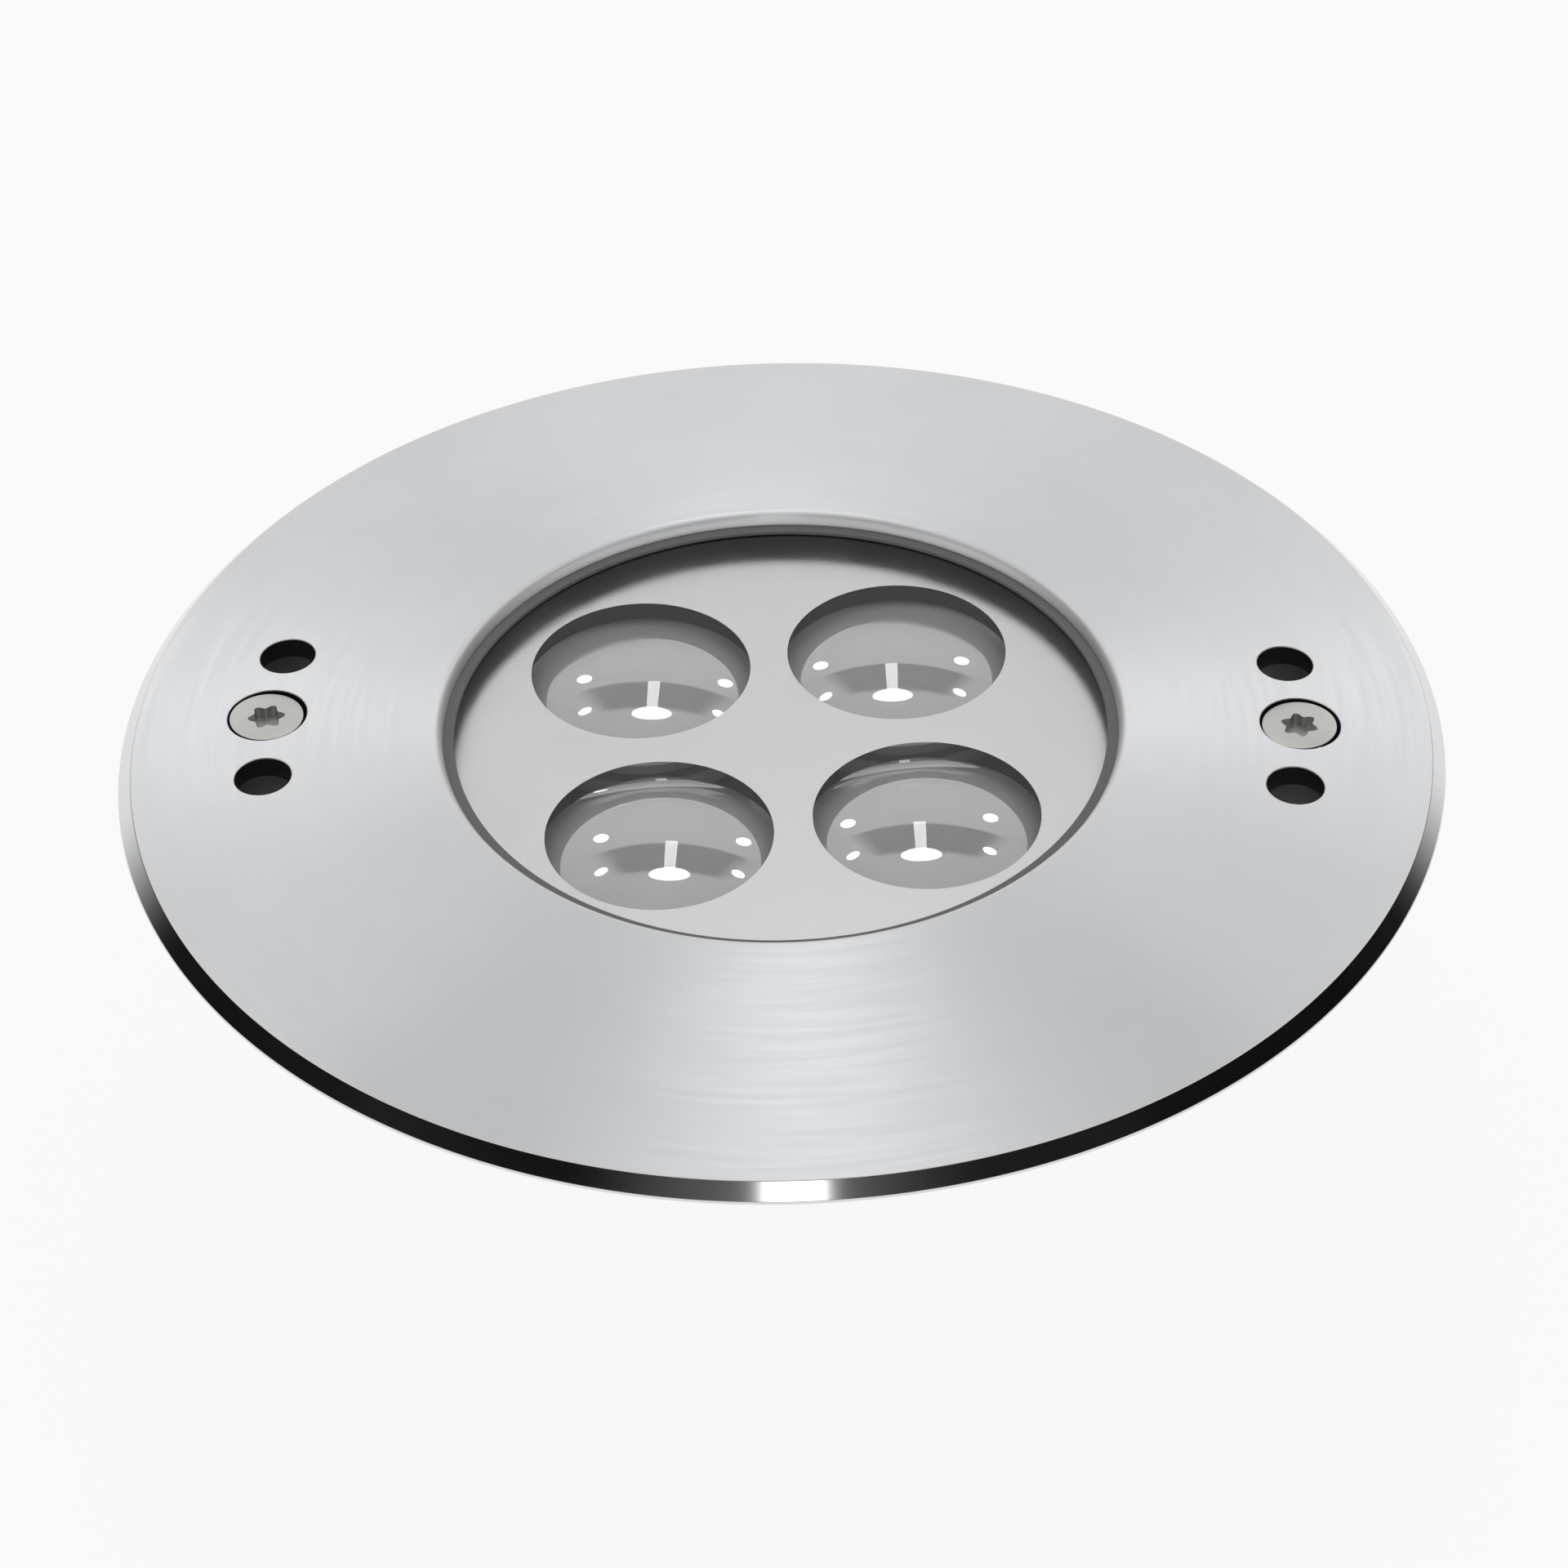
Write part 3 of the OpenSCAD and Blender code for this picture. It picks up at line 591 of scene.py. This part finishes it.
def turned_metal(name, rgb, roughness, marks, lines=9000.0, anisotropic=0.0, cloud=0.04, streak=0.15):
    """Turned metal: circular tool marks in the bump and the roughness, and faint clouds in the colour."""
    material, tree, shader, place = new_material(name)
    grooves = group(tree, "Turning marks", {"Vector": place, "Lines": lines})
    grain = group(tree, "Fine grain", {"Vector": place, "Scale": 3000.0, "Patches": 28.0})
    tone = mixed(tree, grain.outputs["Patch"], shade(rgb, 1 - cloud), shade(rgb, 1 + cloud))
    tree.links.new(tone, shader.inputs["Base Color"])
    streaks = ramp(
        tree, grooves.outputs["Streak"], 0.3, 0.7, roughness * (1 - streak), roughness * (1 + streak)
    )
    tree.links.new(streaks, shader.inputs["Roughness"])
    depth = 0.02 * MM
    bump = put(
        tree, "ShaderNodeBump", {"Strength": marks, "Distance": depth, "Height": grooves.outputs["Height"]}
    )
    tree.links.new(bump.outputs["Normal"], shader.inputs["Normal"])
    shader.inputs["Metallic"].default_value = 1.0
    if anisotropic:
        shader.inputs["Anisotropic"].default_value = anisotropic
        shader.inputs["Anisotropic Rotation"].default_value = 0.25
        tangent = put(tree, "ShaderNodeTangent", direction_type="RADIAL", axis="Z")
        tree.links.new(tangent.outputs["Tangent"], shader.inputs["Tangent"])
    return material


def grained(name, rgb, roughness, grain_size, strength, metallic=0.0, patch=0.06, specular=0.5):
    """Evenly grained surface, such as blasted metal, satin paint, moulded plastic or rubber."""
    material, tree, shader, place = new_material(name)
    grain = group(tree, "Fine grain", {"Vector": place, "Scale": 1.0 / grain_size, "Patches": 60.0})
    tone = blend(tree, 0.4, grain.outputs["Patch"], grain.outputs["Height"])
    tinted = mixed(tree, tone, shade(rgb, 1 - patch), shade(rgb, 1 + patch))
    tree.links.new(tinted, shader.inputs["Base Color"])
    sheen = ramp(tree, grain.outputs["Patch"], 0.3, 0.7, roughness * 0.9, roughness * 1.1)
    tree.links.new(sheen, shader.inputs["Roughness"])
    depth = grain_size * 0.2
    bump = put(
        tree, "ShaderNodeBump", {"Strength": strength, "Distance": depth, "Height": grain.outputs["Height"]}
    )
    tree.links.new(bump.outputs["Normal"], shader.inputs["Normal"])
    shader.inputs["Metallic"].default_value = metallic
    shader.inputs["Specular IOR Level"].default_value = specular
    return material


def silver_below(material, height, rgb):
    """Lacquers a material's surface silver below a height."""
    tree = material.node_tree
    shader = next(n for n in tree.nodes if n.type == "BSDF_PRINCIPLED")
    plain = shader.inputs["Base Color"].links[0].from_socket
    place = put(tree, "ShaderNodeTexCoord").outputs["Object"]
    level = put(tree, "ShaderNodeSeparateXYZ", {0: place}).outputs["Z"]
    soft = 0.8 * MM
    above = ramp(tree, level, height - soft, height + soft)
    tree.links.new(mixed(tree, above, rgb, plain), shader.inputs["Base Color"])


def clear(name, rgb, ior, coat_ior=1.0, tint=1.0, clarity=1.0):
    """Glass or acrylic: coat_ior brightens its skin, a dark tint dims it, low clarity makes it milky."""
    material, tree, shader, _place = new_material(name)
    shader.inputs["Base Color"].default_value = (*rgb[:3], 1)
    shader.inputs["Roughness"].default_value = 0.0
    shader.inputs["IOR"].default_value = ior
    shader.inputs["Specular Tint"].default_value = (tint, tint, tint, 1)
    shader.inputs["Coat Weight"].default_value = 1.0 if coat_ior > 1 else 0.0
    shader.inputs["Coat IOR"].default_value = coat_ior
    shader.inputs["Coat Roughness"].default_value = 0.0
    shader.inputs["Transmission Weight"].default_value = clarity
    output = next(n for n in tree.nodes if n.type == "OUTPUT_MATERIAL")
    through = put(tree, "ShaderNodeBsdfTransparent", {"Color": (*rgb[:3], 1)})
    path = put(tree, "ShaderNodeLightPath")
    mix = put(tree, "ShaderNodeMixShader", {0: path.outputs["Is Shadow Ray"]})
    tree.links.new(shader.outputs[0], mix.inputs[1])
    tree.links.new(through.outputs[0], mix.inputs[2])
    tree.links.new(mix.outputs[0], output.inputs["Surface"])
    return material


# Operators


class MakeBezel(bpy.types.Operator):
    """Turns the bezel and cuts its two recesses and four circulation holes"""

    bl_idname = "underwater_light.bezel"
    bl_label = "Bezel"

    def execute(self, context):
        s = context.scene.light_bezel
        finish = context.scene.light_finishes
        cone_top = SCREW_HIGH.z - context.scene.light_screws.head_land - s.head_gap
        blank = self.blank(s)
        cutters = []
        holes = []
        for _side, sign in SIDES:
            x = sign * SCREW_CENTRE.x + s.recess_play
            cutters.append(self.recess(s, x, cone_top))
            holes.append((x, 0, s.recess_radius))
            water_x = sign * math.sqrt(SCREW_CENTRE.x**2 - s.water_hole_offset**2)
            for y in (-s.water_hole_offset, s.water_hole_offset):
                cutters.append(self.hole(s, water_x, y, s.water_hole_radius, BEZEL_LOW.z - MM))
                holes.append((water_x, y, s.water_hole_radius))
        brushed = turned_metal(
            "Brushed bezel steel", finish.bezel, 0.38, 0.12, 7000.0, anisotropic=0.85, cloud=0.07,
            streak=0.05,
        )
        polished = turned_metal("Polished bezel steel", finish.bezel, 0.12, 0.05, 5000.0, cloud=0.02)
        # painted shade: near black and barely reflecting, so that the holes' walls show the shade inside them
        painted_hole_shade = grained("Bezel hole steel in painted shade", finish.painted_hole_shade, 0.6, 0.2 * MM, 0.2, specular=0.1)
        ring = combined(blank, [joined_meshes(cutters)])
        self.mark_finishes(s, ring, holes)
        piece("bezel_ring", ring, [brushed, polished, painted_hole_shade], "front_bezel")
        return {"FINISHED"}

    def face_edge(self, s):
        """Radius and height of the dished face's outer edge, where the bevel starts."""
        return BEZEL_HIGH.x - s.bevel, BEZEL_HIGH.z - s.face_rise

    def blank(self, s):
        """The ring before its holes are cut, with its bevelled rim, dished face, leaning lip and rabbet."""
        rim_radius = BEZEL_HIGH.x
        face_radius, rim_z = self.face_edge(s)
        rabbet_z = BEZEL_HIGH.z - s.lip_depth
        lip_centre = (s.opening_radius, BEZEL_HIGH.z - s.lip_round)
        lip = arc(lip_centre, s.lip_round, math.pi / 2, math.pi - s.lip_lean, 10)
        throat_z = rabbet_z + s.throat_land
        throat_radius = lip[-1][0] - (lip[-1][1] - throat_z) * math.tan(s.lip_lean)
        insets = (0.08 * MM, 0.14 * MM)  # extra points inside the bevel's ends, which keep its shading flat
        bevel_foot = (rim_radius, rim_z - s.bevel)
        bevel_top = (face_radius, rim_z)
        section = [
            (s.rabbet_radius, BEZEL_LOW.z), (rim_radius, BEZEL_LOW.z), bevel_foot,
            *[(rim_radius - inset, rim_z - s.bevel + inset) for inset in insets],
            *[(face_radius + inset, rim_z - inset) for inset in reversed(insets)],
            bevel_top, *lip, (throat_radius, throat_z), (throat_radius, rabbet_z),
            (s.rabbet_radius, rabbet_z),
        ]
        e = s.edge_round
        rounds = [(0, e, 2), (1, e, 2), (section.index(bevel_foot), e, 3), (section.index(bevel_top), e, 3)]
        return turned(section, rounds, s.steps)

    def hole(self, s, x, y, radius, low):
        """Cutter for a straight hole down to a height, with a chamfer square to the dished face."""
        face_radius, rim_z = self.face_edge(s)
        slope = math.atan2(s.face_rise, face_radius - s.opening_radius)
        face = rim_z + (face_radius - math.hypot(x, y)) * math.tan(slope)
        over = 3 * MM
        drill = moved(turned([(0, low), (radius, low), (radius, face + over), (0, face + over)]), (x, y, 0))
        wide = radius + s.hole_chamfer + over
        taper = turned([(0, -s.hole_chamfer), (radius, -s.hole_chamfer), (wide, over), (0, over)])
        tilt = Matrix.Rotation(math.atan2(y, x), 4, "Z") @ Matrix.Rotation(slope, 4, "Y")
        place = Matrix.Translation((x, y, face)) @ tilt
        bmesh.ops.transform(taper, matrix=place, verts=taper.verts[:])
        return combined(drill, [taper], "UNION")

    def recess(self, s, x, cone_top):
        """Cutter for a fixing screw's bore, its countersunk cone and the straight recess over it."""
        low = BEZEL_LOW.z - MM
        cone_low = cone_top - (s.recess_radius - s.screw_hole_radius)
        bore = turned([
            (0, low), (s.screw_hole_radius, low), (s.screw_hole_radius, cone_low),
            (s.recess_radius, cone_top), (0, cone_top),
        ])
        return combined(moved(bore, (x, 0, 0)), [self.hole(s, x, 0, s.recess_radius, cone_top)], "UNION")

    def mark_finishes(self, s, ring, holes):
        """Gives the holes' walls the near-black painted shade and the rim outside the face the polished
        finish.
        """
        face_radius, _rim_z = self.face_edge(s)
        for face in ring.faces:
            middle = face.calc_center_median()
            radius = math.hypot(middle.x, middle.y)
            steep = abs(face.normal.z) < 0.9
            if steep and any(math.hypot(middle.x - x, middle.y - y) < wall for x, y, wall in holes):
                face.material_index = 2
            elif radius > face_radius:
                face.material_index = 1


class MakeFixingScrews(bpy.types.Operator):
    """Makes the two threaded countersunk fixing screws with six-lobed sockets"""

    bl_idname = "underwater_light.fixing_screws"
    bl_label = "Fixing screws"

    def execute(self, context):
        s = context.scene.light_screws
        top, low = SCREW_HIGH.z, SCREW_LOW.z
        washer_gap = 0.05 * MM
        shoulder = WASHER_LOW.z - washer_gap
        cone_low = top - s.head_land - (s.head_radius - s.neck_radius)
        head = [
            (0, shoulder - MM), (s.neck_radius, shoulder - MM), (s.neck_radius, cone_low),
            (s.head_radius, top - s.head_land), (s.head_radius, top), (0, top),
        ]
        end = s.thread_radius - s.neck_radius
        blank = [
            (0, low), (s.thread_radius - s.tip, low), (s.thread_radius, low + s.tip),
            (s.thread_radius, shoulder - end), (s.neck_radius, shoulder), (0, shoulder),
        ]
        thread = threaded(s.thread_radius, s.thread_pitch, low, shoulder)
        thread = combined(thread, [turned(blank)], "INTERSECT")
        top_round = (4, 0.15 * MM, 3)
        land_round = (3, 0.05 * MM, 2)
        screw = combined(turned(head, [top_round, land_round], 128), [thread], "UNION")
        screw = combined(screw, [socket_cutter(s, top)])
        finish = context.scene.light_finishes
        steel = grained("Blasted screw steel", finish.fixing, 0.42, 0.12 * MM, 0.35, 1.0, 0.05)
        for (side, sign), turn in zip(SIDES, (s.left_turn, s.right_turn)):
            copy = moved(screw.copy(), (sign * SCREW_CENTRE.x, 0, 0), turn)
            piece(f"{side}_screw_threaded", copy, [steel], f"{side}_fixing_screw")
        screw.free()
        return {"FINISHED"}


class MakeStuds(bpy.types.Operator):
    """Winds the threads of the clamping studs"""

    bl_idname = "underwater_light.studs"
    bl_label = "Clamping studs"

    def execute(self, context):
        s = context.scene.light_screws
        low, high = STUDS_LOW.z, STUDS_HIGH.z
        tip = 0.5 * MM
        radius = s.stud_radius
        bar = [(0, low), (radius - tip, low), (radius, low + tip), (radius, high), (0, high)]
        stud = combined(threaded(radius, s.stud_pitch, low, high), [turned(bar)], "INTERSECT")
        out = Matrix.Translation((s.stud_circle, 0, 0))
        first = math.radians(30)
        bearings = [first + math.tau * i / s.stud_count for i in range(s.stud_count)]
        places = [Matrix.Rotation(bearing, 4, "Z") @ out for bearing in bearings]
        finish = context.scene.light_finishes
        steel = grained("Fastener steel", finish.fastener, 0.3, 0.2 * MM, 0.15, 1.0, 0.04)
        piece("studs_threaded", copies(stud, places), [steel], "bezel_studs")
        dress(steel, "clamp_nuts", "clamp_washers", "led_board_screws", "spreader_screws", "driver_screws")
        return {"FINISHED"}


class MakeLenses(bpy.types.Operator):
    """Turns the four collimating lenses with their LED pockets"""

    bl_idname = "underwater_light.lenses"
    bl_label = "Lenses"

    def execute(self, context):
        s = context.scene.light_lenses
        finish = context.scene.light_finishes
        dome = self.dome(s)
        rim_low = dome[0][1] - s.rim
        section = [*self.pocket_and_body(s, rim_low), (s.radius, rim_low), *dome]
        acrylic = clear("Lens acrylic", finish.lens, 1.49, coat_ior=2.6, clarity=0.3)
        for i in range(LENS_COUNT):
            lens = turned(section, [], s.steps)
            bearing = s.turn + math.pi / 4 + math.tau * i / LENS_COUNT
            place = (s.circle_radius * math.cos(bearing), s.circle_radius * math.sin(bearing), 0)
            piece(f"lens_clear_{i + 1}", moved(lens, place, bearing), [acrylic], f"lens_{i + 1}")
        holder = grained("Holder plastic", finish.holder, 0.45, 0.25 * MM, 0.2)
        silver_top = rim_low + 2 * MM
        silver_below(holder, silver_top, finish.silver)
        dress(holder, *[f"lens_holder_{i + 1}" for i in range(LENS_COUNT)])
        return {"FINISHED"}

    def dome(self, s):
        """The domed front's section, from its edge to its crown."""
        centre = (0, MASK_HIGH.z - s.top_gap - s.dome_radius)
        edge_angle = math.asin(s.radius / s.dome_radius)
        return arc(centre, s.dome_radius, math.pi / 2 - edge_angle, math.pi / 2, 32)

    def pocket_and_body(self, s, rim_low):
        """The section from the LED pocket's lens-shaped roof round the foot and up the parabolic body."""
        foot = rim_low - s.height
        bulge = 1.5 * MM
        roof_radius = (s.pocket_radius**2 + bulge**2) / (2 * bulge)
        roof_angle = math.asin(s.pocket_radius / roof_radius)
        roof_centre = (0, foot + s.pocket_depth - bulge + roof_radius)
        roof = arc(roof_centre, roof_radius, -math.pi / 2, -math.pi / 2 + roof_angle, 10)
        spread = s.body_radius**2 - s.foot_radius**2
        count = 20
        radii = [s.foot_radius + (s.body_radius - s.foot_radius) * i / count for i in range(count + 1)]
        parabola = [(r, foot + s.height * (r**2 - s.foot_radius**2) / spread) for r in radii]
        return [*roof, (s.pocket_radius, foot), *parabola]


class MakeGasket(bpy.types.Operator):
    """Turns the glass gasket with its thin lip, whose grey is partly painted shade round the opening's foot
    """

    bl_idname = "underwater_light.gasket"
    bl_label = "Glass gasket"

    def execute(self, context):
        s = context.scene.light_gasket
        low, high = GASKET_LOW.z, GASKET_HIGH.z
        section = [
            (s.shade_lip_radius, low), (GASKET_HIGH.x, low), (GASKET_HIGH.x, high), (s.seat_radius, high),
            (s.seat_radius, low + s.shade_lip_height), (s.shade_lip_radius, low + s.shade_lip_height),
        ]
        finish = context.scene.light_finishes
        # the grey is partly the gasket's own colour and partly painted shade, so that the lip on the glass
        # stands in for the shade round the opening's foot
        silicone = grained("Gasket silicone with painted shade", finish.gasket, 0.6, 0.4 * MM, 0.3, 0.0, 0.2)
        lip_round = (5, 0.2 * MM, 4)
        piece("gasket_with_shade_lip", turned(section, [lip_round], 192), [silicone], "front_gasket")
        rubber = grained("Gasket rubber", finish.rubber, 0.6, 0.4 * MM, 0.3, 0.0, 0.2)
        dress(rubber, "niche_gasket", "gland_seal")
        return {"FINISHED"}


class DressWindow(bpy.types.Operator):
    """Finishes the glass, the mask and the rear seal"""

    bl_idname = "underwater_light.window"
    bl_label = "Window and seals"

    def execute(self, context):
        finish = context.scene.light_finishes
        dress(clear("Window glass", finish.glass, 1.52, tint=0.0), "glass_pane")
        dress(grained("Mask plate", finish.mask, 0.34, 0.3 * MM, 0.03, 1.0, 0.02), "mask_plate")
        dress(grained("Seal silicone", (0.06, 0.06, 0.065), 0.5, 0.4 * MM, 0.2), "rear_seal")
        nylon = grained("Washer nylon", (0.72, 0.7, 0.62), 0.4, 0.3 * MM, 0.15)
        dress(nylon, "left_captive_washer", "right_captive_washer")
        return {"FINISHED"}


class DressHousing(bpy.types.Operator):
    """Finishes the housing and the cable gland"""

    bl_idname = "underwater_light.housing"
    bl_label = "Housing and gland"

    def execute(self, context):
        finish = context.scene.light_finishes
        dress(turned_metal("Turned housing steel", finish.housing, 0.32, 0.6, 3500.0), "housing_pot")
        gland = turned_metal("Gland steel", finish.fastener, 0.26, 0.3, 5000.0)
        dress(gland, "gland_body", "gland_locknut", "gland_cap_nut")
        dress(grained("Insert rubber", (0.015, 0.015, 0.017), 0.6, 0.3 * MM, 0.3), "gland_insert")
        return {"FINISHED"}


class DressElectronics(bpy.types.Operator):
    """Finishes the LEDs, the boards and the parts inside the housing"""

    bl_idname = "underwater_light.electronics"
    bl_label = "Electronics"

    def execute(self, context):
        dress(grained("LED ceramic", (0.8, 0.79, 0.74), 0.5, 0.1 * MM, 0.1), "led_bases")
        dress(grained("LED dome", (0.85, 0.72, 0.28), 0.15, 0.1 * MM, 0.02), "led_domes")
        dress(grained("LED board white", (0.8, 0.81, 0.8), 0.35, 0.2 * MM, 0.1), "led_board")
        dress(grained("Connector plastic", (0.75, 0.73, 0.64), 0.4, 0.2 * MM, 0.1), "led_connector")
        dress(grained("Pad silicone", (0.34, 0.4, 0.5), 0.7, 0.4 * MM, 0.25), "thermal_pad")
        dress(turned_metal("Spreader aluminium", (0.74, 0.745, 0.75), 0.35, 0.5, 4000.0), "heat_spreader")
        dress(grained("Standoff brass", (0.72, 0.52, 0.22), 0.25, 0.2 * MM, 0.1, 1.0), "driver_standoffs")
        dress(grained("Driver board green", (0.02, 0.16, 0.06), 0.35, 0.3 * MM, 0.1), "driver_board")
        dress(grained("Ferrite", (0.045, 0.045, 0.048), 0.6, 0.2 * MM, 0.3), "driver_inductor")
        dress(grained("Capacitor sleeve", (0.3, 0.33, 0.38), 0.3, 0.3 * MM, 0.1, 0.6), "driver_capacitors")
        dress(grained("Terminal plastic", (0.02, 0.24, 0.08), 0.3, 0.2 * MM, 0.1), "driver_terminal")
        dress(grained("Chip plastic", (0.02, 0.02, 0.021), 0.5, 0.1 * MM, 0.2), "driver_chips")
        dress(grained("Lead insulation", (0.45, 0.02, 0.015), 0.35, 0.3 * MM, 0.1), "led_leads")
        return {"FINISHED"}


def direction(bearing, height):
    """A unit vector from its bearing off the front, towards the right screw, and its angle of height."""
    return Vector((
        math.sin(bearing) * math.cos(height), -math.cos(bearing) * math.cos(height), math.sin(height)
    ))


def area_lamp(name, bearing, height, wide, tall, radiance, shape="RECTANGLE", distance=1.5):
    """A soft lamp that faces the light's centre; its place and size are degrees as seen from there."""
    bearing, height, wide, tall = [math.radians(degrees) for degrees in (bearing, height, wide, tall)]
    data = bpy.data.lights.new(name, "AREA")
    data.shape = shape
    data.size = 2 * distance * math.tan(wide / 2)
    data.size_y = 2 * distance * math.tan(tall / 2)
    fill = math.pi / 4 if shape == "ELLIPSE" else 1
    data.energy = radiance * math.pi * data.size * data.size_y * fill
    lamp = bpy.data.objects.new(name, data)
    lamp.location = distance * direction(bearing, height)
    lamp.rotation_euler = lamp.location.to_track_quat("Z", "Y").to_euler()
    lamp.visible_camera = False
    bpy.context.scene.collection.objects.link(lamp)


class MakeStage(bpy.types.Operator):
    """Sets up the camera, the lamps, the floor and the backdrop"""

    bl_idname = "underwater_light.stage"
    bl_label = "Stage"

    def execute(self, context):
        s = context.scene.light_stage
        self.camera(context, s)
        self.lamps()
        self.floor(context, s)
        self.backdrop(context, s)
        context.scene.view_settings.view_transform = "Standard"
        return {"FINISHED"}

    def camera(self, context, s):
        place = s.camera_distance * direction(s.camera_side, s.camera_height)
        forward = (Vector((s.target_x, s.target_y, 0)) - place).normalized()
        right = forward.cross(Vector((0, 0, 1))).normalized()
        up = right.cross(forward)
        roll = s.camera_roll
        right, up = (
            math.cos(roll) * right + math.sin(roll) * up,
            math.cos(roll) * up - math.sin(roll) * right,
        )
        data = bpy.data.cameras.new("Camera")
        data.lens = s.lens_mm
        data.sensor_width = 36
        data.sensor_fit = "HORIZONTAL"
        data.clip_start = 0.01
        data.dof.use_dof = False
        camera = bpy.data.objects.new("Camera", data)
        turn = Matrix((right, up, -forward)).transposed()
        camera.matrix_world = Matrix.Translation(place) @ turn.to_4x4()
        context.scene.collection.objects.link(camera)
        context.scene.camera = camera

    def lamps(self):
        behind = 182
        area_lamp("Overhead lamp", behind, 60, 12, 6.5, 3.5, "ELLIPSE")
        area_lamp("Back strip", behind, 50.5, 3.2, 15, 2.2)
        area_lamp("Front window", 3.4, 42.8, 7.5, 9, 3)
        for side, sign in SIDES:
            area_lamp(f"Back {side} spot", behind - 21 * sign, 34, 3.5, 5, 6, "ELLIPSE")
            area_lamp(f"High {side} spot", behind - 31 * sign, 50, 4, 3.3, 6, "ELLIPSE")

    def floor(self, context, s):
        half = 3.0
        bm = bmesh.new()
        bmesh.ops.create_grid(bm, x_segments=1, y_segments=1, size=half)
        bmesh.ops.translate(bm, verts=bm.verts[:], vec=(0, 0, CAD_BOX[0].z))
        floor = loose_object(bm, "floor")
        material, tree, shader, place = new_material("Floor")
        grain = group(tree, "Fine grain", {"Vector": place, "Scale": 900.0, "Patches": 4.0})
        pale = mixed(tree, grain.outputs["Patch"], shade(s.backdrop, 0.88), shade(s.backdrop, 0.9))
        tree.links.new(pale, shader.inputs["Base Color"])
        shader.inputs["Roughness"].default_value = 0.8
        output = next(n for n in tree.nodes if n.type == "OUTPUT_MATERIAL")
        path = put(tree, "ShaderNodeLightPath")
        seen = maths(tree, "MAXIMUM", path.outputs["Is Camera Ray"], path.outputs["Is Glossy Ray"])
        seen = maths(tree, "MAXIMUM", seen, path.outputs["Is Transmission Ray"])
        glow = put(tree, "ShaderNodeEmission", {"Color": (*s.backdrop, 1), "Strength": 1.0})
        glow_share = 0.9
        mix = put(tree, "ShaderNodeMixShader", {0: maths(tree, "MULTIPLY", seen, glow_share)})
        tree.links.new(shader.outputs[0], mix.inputs[1])
        tree.links.new(glow.outputs[0], mix.inputs[2])
        tree.links.new(mix.outputs[0], output.inputs["Surface"])
        floor.data.materials.append(material)

    def backdrop(self, context, s):
        world = bpy.data.worlds.new("Studio")
        world.use_nodes = True
        tree = world.node_tree
        tree.nodes.clear()
        towards = put(tree, "ShaderNodeTexCoord").outputs["Generated"]
        levels = {
            "Back low": 0.95, "Back high": 0.9, "Back band": 0.15, "Sides": 1.0, "Front low": 1.0,
            "Front high": 0.3, "Ceiling": 0.85,
        }
        walls = group(tree, "Studio walls", {"Direction": towards, **levels}).outputs["Level"]
        path = put(tree, "ShaderNodeLightPath")
        mirrored = maths(tree, "MAXIMUM", path.outputs["Is Glossy Ray"], path.outputs["Is Transmission Ray"])
        even = put(tree, "ShaderNodeBackground", {"Color": (*s.backdrop, 1), "Strength": s.daylight})
        seen_in_metal = put(tree, "ShaderNodeBackground", {"Color": (*s.backdrop, 1), "Strength": walls})
        seen_directly = put(tree, "ShaderNodeBackground", {"Color": (*s.backdrop, 1), "Strength": 1.0})
        first = put(tree, "ShaderNodeMixShader", {0: mirrored})
        tree.links.new(even.outputs[0], first.inputs[1])
        tree.links.new(seen_in_metal.outputs[0], first.inputs[2])
        second = put(tree, "ShaderNodeMixShader", {0: path.outputs["Is Camera Ray"]})
        tree.links.new(first.outputs[0], second.inputs[1])
        tree.links.new(seen_directly.outputs[0], second.inputs[2])
        output = put(tree, "ShaderNodeOutputWorld")
        tree.links.new(second.outputs[0], output.inputs["Surface"])
        context.scene.world = world


class LightPanel(bpy.types.Panel):
    """Lists the light's pieces and its studio"""

    bl_idname = "VIEW3D_PT_underwater_light"
    bl_label = "Underwater light"
    bl_space_type = "VIEW_3D"
    bl_region_type = "UI"
    bl_category = "Light"

    def draw(self, context):
        for operator in OPERATORS:
            self.layout.operator(operator.bl_idname)


GROUPS = {
    "light_bezel": BezelSizes,
    "light_gasket": GasketSizes,
    "light_screws": ScrewSizes,
    "light_lenses": LensSizes,
    "light_finishes": Finishes,
    "light_stage": StageSettings,
}
OPERATORS = (
    MakeBezel, MakeFixingScrews, MakeStuds, MakeLenses, MakeGasket, DressWindow, DressHousing,
    DressElectronics, MakeStage,
)


def register():
    for cls in (*GROUPS.values(), *OPERATORS, LightPanel):
        bpy.utils.register_class(cls)
    for name, cls in GROUPS.items():
        setattr(bpy.types.Scene, name, PointerProperty(type=cls))


def unregister():
    for name in GROUPS:
        delattr(bpy.types.Scene, name)
    for cls in (LightPanel, *reversed(OPERATORS), *reversed(GROUPS.values())):
        bpy.utils.unregister_class(cls)


def main():
    """Builds the pieces in order."""
    register()
    for operator in OPERATORS:
        family, name = operator.bl_idname.split(".")
        getattr(getattr(bpy.ops, family), name)()


if __name__ == "__main__":
    main()
